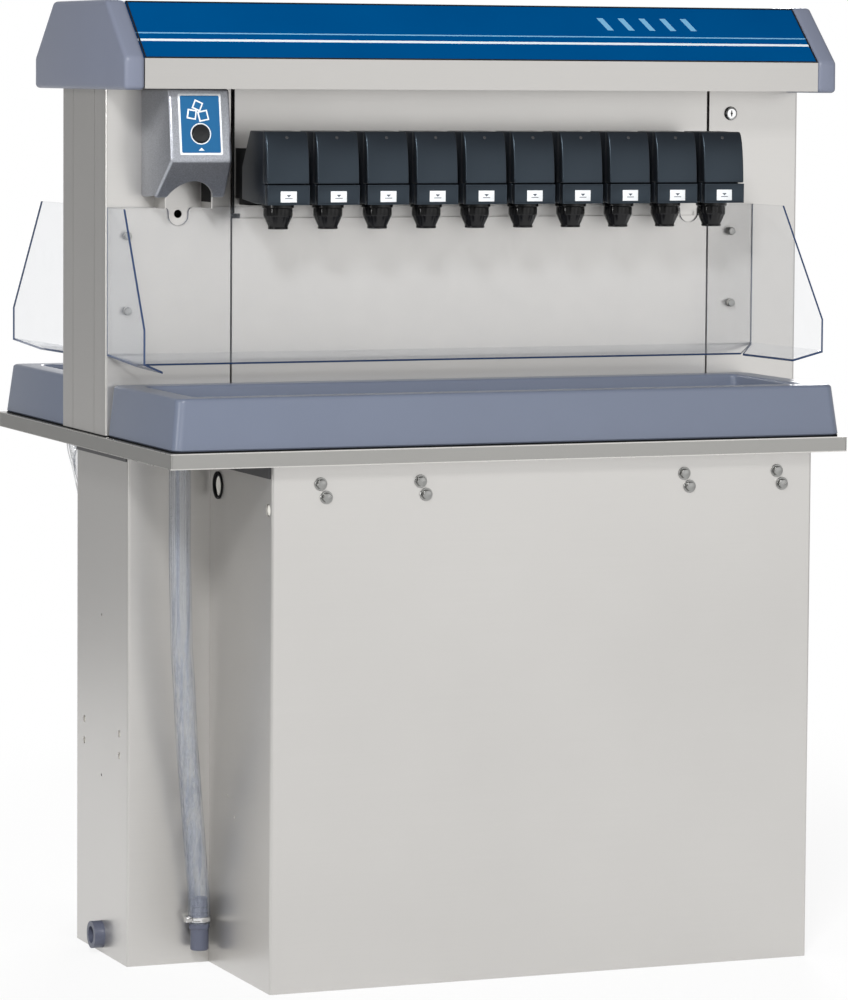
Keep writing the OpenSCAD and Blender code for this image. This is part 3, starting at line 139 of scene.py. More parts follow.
class Finish:
    def __init__(self, name):
        self.material = bpy.data.materials.new(name)
        self.material.use_nodes = True
        self.tree = self.material.node_tree
        self.tree.nodes.clear()
        self.place = self.node("ShaderNodeTexCoord", {}, {}, "Object")

    def node(self, kind, settings, values, output=0):
        made = self.tree.nodes.new(kind)
        for key, value in settings.items():
            setattr(made, key, value)
        for key, value in values.items():
            slot = made.inputs[key]
            if isinstance(value, Wire):
                self.tree.links.new(value.socket, slot)
            else:
                slot.default_value = value
        return Wire(self.tree, made.outputs[output])

    def stretched(self, scale):
        return self.node("ShaderNodeMapping", {}, {"Vector": self.place, "Scale": scale})

    def noise(self, scale, detail=3, where=None, roughness=0.5):
        return self.node("ShaderNodeTexNoise", {}, {"Vector": where or self.place, "Scale": scale,
                         "Detail": detail, "Roughness": roughness})

    def axes(self):
        split = self.node("ShaderNodeSeparateXYZ", {}, {"Vector": self.place})
        return [Wire(self.tree, s) for s in split.socket.node.outputs]

    def mix(self, share, first, second):
        return self.node("ShaderNodeMix", {"data_type": "RGBA"}, {0: share, 6: first, 7: second}, 2)

    def bump(self, height, depth, strength=1.0):
        return self.node("ShaderNodeBump", {}, {"Height": height, "Distance": depth, "Strength": strength})

    def shade(self, values):
        shader = self.node("ShaderNodeBsdfPrincipled", {}, values)
        end = self.tree.nodes.new("ShaderNodeOutputMaterial")
        self.tree.links.new(shader.socket, end.inputs["Surface"])
        return self.material


def ink(red, green, blue):
    # a colour as seen on screen, 0 to 255, as the shader's linear colour
    def linear(c):
        c /= 255
        return c / 12.92 if c < 0.04045 else ((c + 0.055) / 1.055) ** 2.4
    return (linear(red), linear(green), linear(blue), 1)


def toned(base, share):
    # the same colour, darker or lighter
    return tuple(min(c * share, 1) for c in base[:3]) + (1,)


# Finishes
steelFinish = {"light": (209, 207, 204), "dark": (195, 193, 190), "rough": 0.22, "grain": 0.08, "metal": 0.80}
# a lighter, more metallic copy of the same stainless, for the splash panels only: painted light that lifts
# them and weakens the valves' shadows on them
splashLitFinish = dict(steelFinish, light=(211, 209, 206), dark=(197, 195, 192), metal=0.92)
# darker copies of the stainless, for the canopy band and for the deck rim
canopyFinish = dict(steelFinish, light=(195, 193, 190), dark=(181, 179, 176))
rimFinish = dict(steelFinish, light=(168, 167, 164), dark=(152, 151, 148), rough=0.26)


def stainless(name="stainless", look=steelFinish):
    f = Finish(name)
    grain = f.noise(1, 4, f.stretched((5, 5, 1500)), 0.7)
    clouds = f.noise(3.5, 3)
    tone = f.mix(0.45 * grain + 0.55 * clouds, ink(*look["dark"]), ink(*look["light"]))
    rough = look["rough"] + look["grain"] * grain + 0.10 * clouds
    return f.shade({"Base Color": tone, "Metallic": look["metal"], "Roughness": rough,
                    "Normal": f.bump(grain, 0.00002, 0.6)})


def pebbled(name, base, rough=0.42, grain=900, depth=0.00012, spread=0.10, metal=0.0, sheen=0.5,
            tint=(1, 1, 1, 1)):
    f = Finish(name)
    pebbles = f.noise(grain, 3)
    clouds = f.noise(9, 3)
    tone = f.mix(0.5 * pebbles + 0.5 * clouds, toned(base, 1 - spread), toned(base, 1 + spread))
    return f.shade({"Base Color": tone, "Metallic": metal, "Roughness": rough - 0.06 + 0.12 * pebbles,
                    "Specular IOR Level": sheen, "Specular Tint": tint,
                    "Normal": f.bump(pebbles, depth, 0.5)})


def speckled(name, base):
    # metallic paint with fine flecks
    f = Finish(name)
    specks = f.noise(1400, 2)
    flecks = f.node("ShaderNodeTexVoronoi", {}, {"Vector": f.place, "Scale": 900.0}, "Color")
    fleckTone = f.node("ShaderNodeSeparateColor", {}, {"Color": flecks})
    share = 0.6 * specks + 0.4 * fleckTone
    tone = f.mix(share, toned(base, 0.62), toned(base, 1.4))
    return f.shade({"Base Color": tone, "Metallic": 0.85, "Roughness": 0.33,
                    "Normal": f.bump(specks, 0.00012, 0.5)})


def polished(name, base, rough=0.16):
    f = Finish(name)
    smears = f.noise(60, 3)
    return f.shade({"Base Color": f.mix(smears, toned(base, 0.9), base),
                    "Metallic": 1.0, "Roughness": rough + 0.08 * smears})


def clearSheet(name, tint, edgeTint, cover, rough=0.04, paintedStreaks=0.0):
    # see-through where it faces the eye, denser and darker where it turns away
    # the last argument sets how strongly painted streaks show along a hose: darker, denser lines fixed on its
    # surface that stand in for the surroundings seen refracted through it
    f = Finish(name)
    facing = f.node("ShaderNodeLayerWeight", {}, {"Blend": 0.35}, "Facing")
    dust = f.noise(40, 4)
    shown = cover + 0.45 * facing * facing * facing + 0.03 * dust
    deep = facing * facing
    if paintedStreaks:
        # painted refraction: streaks running along the hose
        streakNoise = f.noise(1, 2, f.stretched((170, 170, 2.5)), 0.6)
        streakMask = paintedStreaks * ((streakNoise - 0.50) * 7.0).kept(0.0, 1.0)
        shown = shown + streakMask
        deep = deep + 1.6 * streakMask
    return f.shade({"Base Color": f.mix(deep, tint, edgeTint), "Roughness": rough + 0.03 * dust,
                    "Alpha": shown, "Specular IOR Level": 0.6})


def castMetal(name, base):
    f = Finish(name)
    cells = f.noise(220, 4)
    return f.shade({"Base Color": f.mix(cells, toned(base, 0.8), base), "Metallic": 1.0,
                    "Roughness": 0.45 + 0.15 * cells, "Normal": f.bump(cells, 0.0003, 0.6)})


canopyPrint = {
    "blue": (0, 80, 138), "deep": (0, 70, 126),
    "stripe": (226, 234, 240), "low": 0.026, "width": 0.0032,  # first pinstripe and its height on the panel
    "second": (120, 176, 212), "gap": 0.010, "thin": 0.0016,   # second one, this far above it
    "barsX": 0.30, "barsUp": 0.055, "barHalf": 0.009, "bars": 0.085, "barPitch": 0.034, "lean": 0.55,
}


def printedPanel():
    # deep blue print with two straight pinstripes and a short run of slanted bars near the right end
    p = canopyPrint
    f = Finish("bluePanel")
    x, y, z = f.axes()
    up = z - panelLow.z
    clouds = f.noise(6, 3)
    ground = f.mix(clouds, ink(*p["deep"]), ink(*p["blue"]))
    wide = ((up - p["low"]).size() < p["width"] / 2) * 1.0
    thin = ((up - p["low"] - p["gap"]).size() < p["thin"] / 2) * 1.0
    slant = (x + up * p["lean"] - p["barsX"]).size()
    teeth = (x + up * p["lean"]).maths("PINGPONG", p["barPitch"] / 2) < p["barPitch"] / 7
    bars = (slant < p["bars"]) * teeth * ((up - p["barsUp"]).size() < p["barHalf"])
    tone = f.mix(thin, f.mix(bars, ground, ink(*p["second"])), ink(*p["second"]))
    tone = f.mix(wide, tone, ink(*p["stripe"]))
    return f.shade({"Base Color": tone, "Roughness": 0.50 + 0.06 * clouds, "Specular IOR Level": 0.0})


finish = {
    "stainless": stainless(),
    "rimSteel": stainless("rimSteel", rimFinish),
    "canopySteel": stainless("canopySteel", canopyFinish),
    "panelSteel": stainless("panelSteel", splashLitFinish),
    "foam": pebbled("foam", ink(238, 236, 228), 0.85, 500, 0.0004, 0.05),
    "liner": pebbled("liner", ink(205, 208, 210), 0.35, 300, 0.00008, 0.04),
    "castAluminium": castMetal("castAluminium", ink(190, 192, 196)),
    "darkSteel": pebbled("darkSteel", ink(66, 66, 68), 0.38, 700, 0.0001, 0.15),
    "pvc": pebbled("pvc", ink(84, 88, 104), 0.42, 800, 0.0001, 0.08),
    "rubber": pebbled("rubber", ink(16, 17, 19), 0.65, 900, 0.0001, 0.15, 0.0, 0.15),
    "slate": pebbled("slate", ink(110, 118, 136), 0.34, 1100, 0.00010, 0.06),
    "slateCap": pebbled("slateCap", ink(124, 130, 148), 0.42, 1300, 0.00014, 0.08),
    "hose": clearSheet("hose", ink(190, 197, 208), ink(62, 74, 104), 0.08, 0.05, 0.38),
    "acrylic": clearSheet("acrylic", ink(206, 212, 222), ink(190, 198, 210), 0.03),
    "acrylicFold": pebbled("acrylicFold", ink(118, 124, 136), 0.20, 300, 0.00002, 0.08),
    "acrylicEdge": pebbled("acrylicEdge", ink(52, 70, 104), 0.18, 300, 0.00002, 0.10),
    "chrome": polished("chrome", ink(226, 226, 226)),
    "bright": polished("bright", ink(214, 212, 208), 0.24),
    "boltSteel": polished("boltSteel", ink(160, 160, 158), 0.24),
    "blue": printedPanel(),
    "black": pebbled("black", ink(18, 19, 21), 0.30, 600, 0.00004, 0.1),
    "hoodGrey": speckled("hoodGrey", ink(176, 179, 186)),
    "darkPlastic": pebbled("darkPlastic", ink(14, 15, 17), 0.45, 900, 0.00008, 0.12, 0.0, 0.10),
    "valveBlack": pebbled("valveBlack", ink(28, 31, 36), 0.32, 1500, 0.00006, 0.14, 0.0, 0.57,
                          (0.62, 0.82, 1.0, 1)),
    "nozzleBlack": pebbled("nozzleBlack", ink(14, 14, 16), 0.22, 600, 0.00003, 0.12, 0.0, 0.35),
    "labelWhite": pebbled("labelWhite", ink(244, 247, 249), 0.35, 400, 0.00002, 0.02),
    "labelBlue": pebbled("labelBlue", ink(30, 100, 150), 0.40, 400, 0.00002, 0.04, 0.0, 0.3),
    "labelInk": pebbled("labelInk", ink(70, 78, 90), 0.4, 400, 0.00002, 0.06),
}
print("finishes made")

nodeFinish = {
    "rimSteel": ["deck"],
    "stainless": ["base_pan", "cabinet_panels", "tower_base", "side_covers", "column_panels",
                  "valve_panels", "ice_chutes", "cup_grilles", "chute_door_front", "chute_door_rear"],
    # the splash panels take the lighter copy of the stainless, painted light
    "panelSteel": ["splash_panels"],
    "canopySteel": ["canopy_shell"],
    "foam": ["insulation_boards"],
    "liner": ["bin_liner", "lift_tube"],
    "castAluminium": ["cold_plate"],
    "darkSteel": ["support_frame", "lift_gearmotor", "control_box"],
    "pvc": ["bin_drain", "hose_fittings"],
    "rubber": ["rubber_seals"],
    "slate": ["drip_trays"],
    "slateCap": ["canopy_caps"],
    "chrome": ["switch_bodies", "key_plug", "fasteners"],
    "bright": ["lift_auger", "product_lines"],
    "blue": ["canopy_panels"],
    "hoodGrey": ["chute_covers"],
    "black": ["ice_button_front", "ice_button_rear"],
    "darkPlastic": ["valve_bodies"],
    "valveBlack": ["valve_covers"],
    "nozzleBlack": ["valve_nozzles"],
    "acrylic": ["splash_guards"],
    "hose": ["drain_hose_front", "drain_hose_rear"],
}
nodeFinish["valveBlack"] += [node for node in nodes if node.startswith("push_plate")]
for name, members in nodeFinish.items():
    for node in members:
        nodes[node].data.materials.clear()
        nodes[node].data.materials.append(finish[name])


# Mesh helpers
flipY = Matrix.Scale(-1, 4, (0, 1, 0))         # front to rear
turnOut = Matrix.Rotation(math.pi / 2, 4, "X")  # an upright part's top towards the front


def newPiece(name, points, faces, material, flat=32):
    mesh = bpy.data.meshes.new(name)
    mesh.from_pydata([tuple(p) for p in points], [], faces)
    mesh.materials.append(material)
    piece = bpy.data.objects.new(name, mesh)
    bpy.context.scene.collection.objects.link(piece)
    tidyNormals(piece)
    smoothed(piece, flat)
    return piece


def tidyNormals(piece):
    work = bmesh.new()
    work.from_mesh(piece.data)
    bmesh.ops.remove_doubles(work, verts=work.verts, dist=1e-6)
    bmesh.ops.recalc_face_normals(work, faces=work.faces)
    work.to_mesh(piece.data)
    work.free()


def smoothed(piece, flat=32):
    for face in piece.data.polygons:
        face.use_smooth = True
    piece.data.set_sharp_from_angle(angle=math.radians(flat))


def baked(piece, flat=32):
    # turns the piece's modifiers into plain mesh
    bpy.context.view_layer.update()
    result = bpy.data.meshes.new_from_object(piece.evaluated_get(bpy.context.evaluated_depsgraph_get()))
    piece.modifiers.clear()
    piece.data = result
    smoothed(piece, flat)
    return piece


def rounded(piece, width, segments=3, limit=40):
    edge = piece.modifiers.new("edges", "BEVEL")
    edge.width, edge.segments, edge.angle_limit = width, segments, math.radians(limit)
    edge.limit_method = "ANGLE"
    return baked(piece)


def prism(name, outline, start, end, material, place=lambda a, b, c: (c, a, b)):
    # outline in two axes, run from start to end along the third
    n = len(outline)
    points = [place(a, b, start) for a, b in outline] + [place(a, b, end) for a, b in outline]
    faces = [list(range(n)), list(range(n, 2 * n))]
    faces += [[i, (i + 1) % n, n + (i + 1) % n, n + i] for i in range(n)]
    return newPiece(name, points, faces, material)


def block(name, low, high, material, edge=0.0, segments=2):
    outline = [(low[1], low[2]), (high[1], low[2]), (high[1], high[2]), (low[1], high[2])]
    piece = prism(name, outline, low[0], high[0], material)
    return rounded(piece, edge, segments) if edge else piece


def lathe(name, profile, material, steps=48, rib=None):
    # profile of radius and height turned about Z; rib gives (low, high, count, depth)
    points, faces = [], []
    for r, z in profile:
        for k in range(steps):
            turn = 2 * math.pi * k / steps
            grown = r
            if rib and rib[0] < z < rib[1] and math.cos(rib[2] * turn) > 0:
                grown += rib[3]
            points.append((grown * math.cos(turn), grown * math.sin(turn), z))
    for i in range(len(profile) - 1):
        for k in range(steps):
            a, b = i * steps + k, i * steps + (k + 1) % steps
            faces.append([a, b, b + steps, a + steps])
    last = (len(profile) - 1) * steps
    faces.append(list(range(steps)))
    faces.append(list(range(last, last + steps)))
    return newPiece(name, points, faces, material)


def moved(piece, matrix):
    piece.data.transform(matrix)
    if matrix.determinant() < 0:
        piece.data.flip_normals()
    return piece


def joined(name, pieces):
    work = bmesh.new()
    materials = []
    for piece in pieces:
        for material in piece.data.materials:
            if material not in materials:
                materials.append(material)
    for piece in pieces:
        start = len(work.faces)
        work.from_mesh(piece.data)
        work.faces.ensure_lookup_table()
        for face in work.faces[start:]:
            face.material_index = materials.index(piece.data.materials[face.material_index])
    mesh = bpy.data.meshes.new(name)
    work.to_mesh(mesh)
    work.free()
    for material in materials:
        mesh.materials.append(material)
    for piece in pieces:
        bpy.data.objects.remove(piece)
    whole = bpy.data.objects.new(name, mesh)
    bpy.context.scene.collection.objects.link(whole)
    smoothed(whole)
    return whole


def mirrored(piece, name):
    # a copy for the other side of the counter
    twin = bpy.data.objects.new(name, piece.data.copy())
    bpy.context.scene.collection.objects.link(twin)
    return moved(twin, flipY)


def onBoth(name, piece):
    return joined(name, [mirrored(piece, name + "Twin"), piece])


def arc(centre, radius, start, end, steps):
    turns = [math.radians(start + (end - start) * k / steps) for k in range(steps + 1)]
    return [(centre[0] + radius * math.cos(t), centre[1] + radius * math.sin(t)) for t in turns]


def hexCorners(radius, start):
    turns = [math.radians(60 * k + start) for k in range(6)]
    return [(radius * math.cos(t), radius * math.sin(t)) for t in turns]


# Geometry Nodes: a part repeated on given points, realised, with its material
def repeatTree(name, part, material):
    tree = bpy.data.node_groups.new(name, "GeometryNodeTree")
    tree.interface.new_socket("Places", in_out="INPUT", socket_type="NodeSocketGeometry")
    size = tree.interface.new_socket("Size", in_out="INPUT", socket_type="NodeSocketFloat")
    size.default_value = 1.0
    tree.interface.new_socket("Pieces", in_out="OUTPUT", socket_type="NodeSocketGeometry")
    begin = tree.nodes.new("NodeGroupInput")
    end = tree.nodes.new("NodeGroupOutput")
    source = tree.nodes.new("GeometryNodeObjectInfo")
    source.inputs["Object"].default_value = part
    spread = tree.nodes.new("GeometryNodeInstanceOnPoints")
    real = tree.nodes.new("GeometryNodeRealizeInstances")
    paint = tree.nodes.new("GeometryNodeSetMaterial")
    paint.inputs["Material"].default_value = material
    link = tree.links.new
    link(begin.outputs["Places"], spread.inputs["Points"])
    link(source.outputs["Geometry"], spread.inputs["Instance"])
    link(begin.outputs["Size"], spread.inputs["Scale"])
    link(spread.outputs["Instances"], real.inputs["Geometry"])
    link(real.outputs["Geometry"], paint.inputs["Geometry"])
    link(paint.outputs["Geometry"], end.inputs["Pieces"])
    return tree, size.identifier


def repeated(name, part, places, size=1.0):
    material = part.data.materials[0]
    mesh = bpy.data.meshes.new(name)
    mesh.from_pydata([tuple(p) for p in places], [], [])
    piece = bpy.data.objects.new(name, mesh)
    bpy.context.scene.collection.objects.link(piece)
    tree, sizeInput = repeatTree(name + "Tree", part, material)
    step = piece.modifiers.new("repeat", "NODES")
    step.node_group = tree
    step[sizeInput] = size
    baked(piece)
    bpy.data.objects.remove(part)
    return piece


# Drain hoses and their fittings
hose = {
    "radius": 0.016, "bore": 0.0128, "around": 28,
    "front": [(-475, -208, 749), (-475, -208, 705), (-475, -208, 660), (-475, -208, 615),
              (-474, -208, 570), (-472, -206, 522), (-470, -203, 474), (-465, -198, 426),
              (-460, -191, 378), (-455, -184, 330), (-448, -175, 284), (-441, -165, 238),
              (-434, -156, 190), (-428, -149, 145), (-423, -145, 102), (-421, -143, 62)],
    "rear": [(-483, 250, 749), (-483, 249, 728), (-479, 240, 702), (-475, 228, 670),
             (-471, 216, 625), (-468, 207, 580), (-465, 200, 534), (-463, 196, 490),
             (-460, 191, 445), (-456, 186, 395), (-452, 180, 345), (-447, 173, 300),
             (-441, 165, 252), (-434, 156, 200), (-428, 149, 150), (-423, 145, 105),
             (-421, 143, 62)],
}
fitting = {"tail": 0.0133, "tailEnd": 0.023, "hexTop": 0.062, "hexLow": 0.054, "hexRadius": 0.016,
           "barb": 0.0122, "barbTop": 0.100, "barbPitch": 0.008, "barbs": 4, "bore": 0.0095,
           "clampLow": 0.0655, "clampHigh": 0.0725, "clamp": 0.0172}


def smoothRoute(corners, steps=4):
    points = [Vector(p) / 1000 for p in corners]
    route = []
    for i in range(len(points) - 1):
        a, b, c, d = points[max(i - 1, 0)], points[i], points[i + 1], points[min(i + 2, len(points) - 1)]
        for k in range(steps):
            t = k / steps
            route.append(0.5 * (2 * b + (c - a) * t + (2 * a - 5 * b + 4 * c - d) * t ** 2
                                + (3 * b - a - 3 * c + d) * t ** 3))
    route.append(points[-1])
    return route


def routeLength(route):
    return sum((b - a).length for a, b in zip(route, route[1:]))


def tubeWall(name, route, outer, inner, around, material):
    # a hollow tube: the outside from the first point to the last, and back inside
    rings = []
    side = Vector((1, 0, 0))
    for i, point in enumerate(route):
        ahead = route[min(i + 1, len(route) - 1)] - route[max(i - 1, 0)]
        if i in (0, len(route) - 1):
            ahead = Vector((0, 0, -1))
        ahead.normalize()
        side = (side - ahead * side.dot(ahead)).normalized()
        other = ahead.cross(side)
        rings.append((point, side.copy(), other))
    points, faces = [], []
    order = [(r, outer) for r in rings] + [(r, inner) for r in reversed(rings)]
    for (point, side, other), radius in order:
        for k in range(around):
            turn = 2 * math.pi * k / around
            points.append(point + radius * (math.cos(turn) * side + math.sin(turn) * other))
    total = len(order)
    for i in range(total):
        for k in range(around):
            a, b = i * around + k, i * around + (k + 1) % around
            c, d = ((i + 1) % total) * around + k, ((i + 1) % total) * around + (k + 1) % around
            faces.append([a, b, d, c])
    return newPiece(name, points, faces, material, 60)


def makeFitting(name, x, y):
    f = fitting
    bore, tail, barb, top = f["bore"], f["tail"], f["barb"], f["barbTop"]
    profile = [(bore, top - 0.020), (bore, f["tailEnd"] + 0.001), (bore + 0.001, f["tailEnd"]),
               (tail - 0.0012, f["tailEnd"]), (tail, f["tailEnd"] + 0.0014), (tail, f["hexLow"]),
               (barb - 0.0008, f["hexLow"] + 0.001)]
    for k in range(f["barbs"]):
        z = f["hexTop"] + f["barbPitch"] * k
        profile += [(barb - 0.0008, z), (barb + 0.0004, z + 0.0015), (barb - 0.0008, z + 0.007)]
    profile += [(barb, top - 0.001), (barb - 0.001, top), (bore, top - 0.001)]
    body = lathe(name + "Body", profile, finish["pvc"], 40)
    hexagon = prism(name + "Hex", hexCorners(f["hexRadius"], 0), f["hexLow"], f["hexTop"], finish["pvc"],
                    lambda a, b, c: (a, b, c))
    rounded(hexagon, 0.0012, 2)
    return moved(joined(name, [body, hexagon]), Matrix.Translation((x, y, 0)))


def makeClamp(name, x, y):
    f = fitting
    r, low, high = f["clamp"], f["clampLow"], f["clampHigh"]
    middle = (low + high) / 2
    band = lathe(name + "Band", [(r - 0.0009, low), (r, low), (r + 0.0005, low + 0.001), (r, middle),
                                 (r + 0.0005, high - 0.001), (r, high), (r - 0.0009, high)],
                 finish["chrome"], 48, (low + 0.0005, high - 0.0005, 24, 0.00015))
    housing = block(name + "Housing", (-r - 0.0055, -0.006, low - 0.001), (-r + 0.0015, 0.006, high + 0.001),
                    finish["chrome"], 0.0012)
    screw = moved(lathe(name + "Screw", [(0.0028, 0), (0.0034, 0.0008), (0.0034, 0.005), (0.0028, 0.006)],
                        finish["chrome"], 20),
                  Matrix.Translation((-r - 0.002, -0.006, middle)) @ turnOut)
    return moved(joined(name, [band, housing, screw]), Matrix.Translation((x, y, 0)))


for side, sign in sides.items():
    route = smoothRoute(hose[side])
    label = side.capitalize()
    tube = tubeWall("drainHose" + label, route, hose["radius"], hose["bore"], hose["around"], finish["hose"])
    end = route[-1]
    tail = makeFitting("hoseFitting" + label, end.x, end.y)
    clamp = makeClamp("hoseClamp" + label, end.x, end.y)
    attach(tube, "cabinet")
    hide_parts("drain_hose_" + side)
    for piece, slotName in ((tail, "pvc"), (clamp, "bright_steel")):
        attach(piece, "cabinet")
    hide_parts("hose_fittings")
    round(routeLength(route), 3)
print("hoses made")


# Valves: cover, push plate with its label, nozzle
valve = {
    "count": 10, "pitch": 0.0762, "first": -0.330, "half": 0.032, "depth": 0.156, "back": 0.044,
    "roof": 0.078, "low": 1.109, "seam": 0.029, "height": 0.104, "shellBack": 0.1344, "plateBack": 0.1448,
    "travel": 0.003, "nozzleOut": 0.112, "screwZ": 0.0955, "screwTurn": 52,
    "labelW": 0.0245, "labelH": 0.0158, "labelZ": 0.0113, "markOut": 0.00062, "markIn": 0.0004,
}


def valveFront(z):
    # depth of the cover's curved front at a height above its underside
    risen = (z - valve["seam"]) / (valve["height"] - valve["seam"])
    share = math.asin(max(0.0, min(1.0, risen))) / (math.pi / 2)
    return valve["depth"] - 0.017 * (1 - math.cos(math.radians(80) * share)) - 0.002 * share


def makeValveCover():
    v = valve
    low, seam, top = 0.0, v["seam"] + 0.0004, v["height"]
    curve = []
    for k in range(15):
        share = k / 14
        z = v["seam"] + (top - v["seam"]) * math.sin(math.radians(90) * share)
        curve.append((-valveFront(z), max(z, seam)))
    shell = prism("valveShell", [(-v["shellBack"], seam)] + curve + [(-v["shellBack"], top + 0.0004)],
                  -v["half"], v["half"], finish["valveBlack"])
    rounded(shell, 0.0020, 4)
    behindPlate, inShell = -v["plateBack"] + v["travel"] + 0.001, -v["shellBack"] + 0.0006
    rear = prism("valveRear", [(-v["back"], 0.005), (-0.104, low), (behindPlate, low), (behindPlate, seam),
                               (inShell, seam), (inShell, top - 0.0004), (-v["roof"], top + 0.0006),
                               (-v["back"], top - 0.052)],
                 -v["half"] + 0.0012, v["half"] - 0.0012, finish["valveBlack"])
    rounded(rear, 0.0016, 3)
    core = block("valveCore", (-v["half"] + 0.003, -v["shellBack"] - 0.003, seam + 0.002),
                 (v["half"] - 0.003, -v["shellBack"] + 0.004, top - 0.003), finish["valveBlack"])
    return joined("valveCoverPart", [shell, rear, core])


def makeNozzle():
    profile = [(0.0095, -0.034), (0.0100, -0.036), (0.0136, -0.036), (0.0146, -0.0352), (0.0146, -0.0335),
               (0.0140, -0.0328), (0.0143, -0.0315), (0.0170, -0.0245), (0.0196, -0.0185), (0.0203, -0.0172),
               (0.0205, -0.0160), (0.0205, -0.0075), (0.0207, -0.0062), (0.0220, -0.0058), (0.0230, -0.0050),
               (0.0230, -0.0004), (0.0226, 0.0)]
    return lathe("nozzlePart", profile, finish["nozzleBlack"], 96, (-0.0312, -0.0070, 16, 0.00045))


def valveSites(sign, out=0.0, z=0.0):
    return [(valve["first"] + valve["pitch"] * i, sign * (towerFace + out), valve["low"] + z)
            for i in range(valve["count"])]


for side, sign in sides.items():
    label = side.capitalize()
    cover = makeValveCover()
    screw = lathe("screwPart", [(0.0023, -0.001), (0.0023, 0.0006), (0.0018, 0.0011), (0.0009, 0.0012),
                                (0.0007, 0.0006)], finish["darkSteel"], 20)
    moved(screw, Matrix.Translation((0, -valveFront(valve["screwZ"]) + 0.0002, valve["screwZ"]))
          @ Matrix.Rotation(math.radians(valve["screwTurn"]), 4, "X"))
    nozzle = makeNozzle()
    if sign > 0:
        for part in (cover, screw, nozzle):
            moved(part, flipY)
    covers = repeated("valveCovers" + label, cover, valveSites(sign))
    screws = repeated("valveScrews" + label, screw, valveSites(sign))
    nozzles = repeated("valveNozzles" + label, nozzle, valveSites(sign, valve["nozzleOut"]))
    for piece, node, slotName in ((covers, "valve_covers", "valve_black"),
                                  (nozzles, "valve_nozzles", "nozzle_black")):
        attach(piece, "cabinet")
        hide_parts(node)
    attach(screws, "cabinet")
print("valves made")


def makePushPlate(name):
    # bevelled plate with a sunk field in its front and a stem behind
    v = valve
    front, back, low, high = -v["depth"] - 0.0008, -v["plateBack"], -0.0005, v["seam"] - 0.0010
    piece = block(name, (-v["half"], front, low), (v["half"], back, high), finish["valveBlack"])
    work = bmesh.new()
    work.from_mesh(piece.data)
    work.faces.ensure_lookup_table()
    face = min(work.faces, key=lambda f: f.calc_center_median().y)
    bmesh.ops.inset_region(work, faces=[face], thickness=0.0026, depth=0)
    bmesh.ops.inset_region(work, faces=[face], thickness=0.0003, depth=-0.0007)
    work.to_mesh(piece.data)
    work.free()
    rounded(piece, 0.0006, 2, 60)
    stem = block(name + "Stem", (-0.004, back - 0.0005, 0.012), (0.004, -v["depth"] + 0.030, 0.020),
                 finish["valveBlack"], 0.0008)
    return joined(name, [piece, stem])


def makePushLabel(name):
    # a white label with a plain bar and arrow
    v = valve
    front = -v["depth"] - 0.0001
    out, back = front - v["markOut"], front - v["markIn"]
    paper = block(name + "Sheet", (-v["labelW"] / 2, front - 0.0005, v["labelZ"] - v["labelH"] / 2),
                  (v["labelW"] / 2, front + 0.0002, v["labelZ"] + v["labelH"] / 2),
                  finish["labelWhite"], 0.0002)
    bar = block(name + "Bar", (-0.0055, out, v["labelZ"] - 0.0028), (0.0055, back, v["labelZ"] - 0.0018),
                finish["labelInk"])
    tip = prism(name + "Tip", [(-0.0035, 0.0028), (0.0035, 0.0028), (0, -0.0006)], out, back,
                finish["labelInk"], lambda a, b, c: (a, c, b + valve["labelZ"]))
    return joined(name, [paper, bar, tip])


for side, sign in sides.items():
    for i in range(valve["count"]):
        tag = side.capitalize() + str(i + 1)
        body = "push_plate_" + side + "_" + str(i + 1)
        place = Matrix.Translation((valve["first"] + valve["pitch"] * i, sign * towerFace, valve["low"]))
        turn = place if sign < 0 else place @ flipY
        plate = moved(makePushPlate("pushPlate" + tag), turn)
        sticker = moved(makePushLabel("pushLabel" + tag), turn)
        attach(plate, body)
        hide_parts(body)
        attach(sticker, body)
print("push plates made")


# Drip trays, as rings of rounded rectangles from the foot over the rim into the basin
tray = {"draft": 0.0075, "edge": 0.005, "rim": 0.038, "inner": 0.0045, "drop": 0.037, "ledge": 0.006,
        "floor": 0.012, "corner": 0.014, "basinCorner": 0.010, "cornerSteps": 8,
        "spigotFront": (-0.475, -0.208), "spigotRear": (-0.483, 0.250)}


def roundRing(x0, x1, y0, y1, radius, z, steps):
    ring = []
    for cx, cy, start in ((x1 - radius, y1 - radius, 0), (x0 + radius, y1 - radius, 90),
                          (x0 + radius, y0 + radius, 180), (x1 - radius, y0 + radius, 270)):
        for k in range(steps + 1):
            turn = math.radians(start + 90 * k / steps)
            ring.append((cx + radius * math.cos(turn), cy + radius * math.sin(turn), z))
    return ring


def lofted(name, rings, material, flat=32):
    n = len(rings[0])
    points = [p for ring in rings for p in ring]
    faces = [list(range(n)), list(range((len(rings) - 1) * n, len(rings) * n))]
    for i in range(len(rings) - 1):
        for k in range(n):
            a, b = i * n + k, i * n + (k + 1) % n
            faces.append([a, b, b + n, a + n])
    return newPiece(name, points, faces, material, flat)


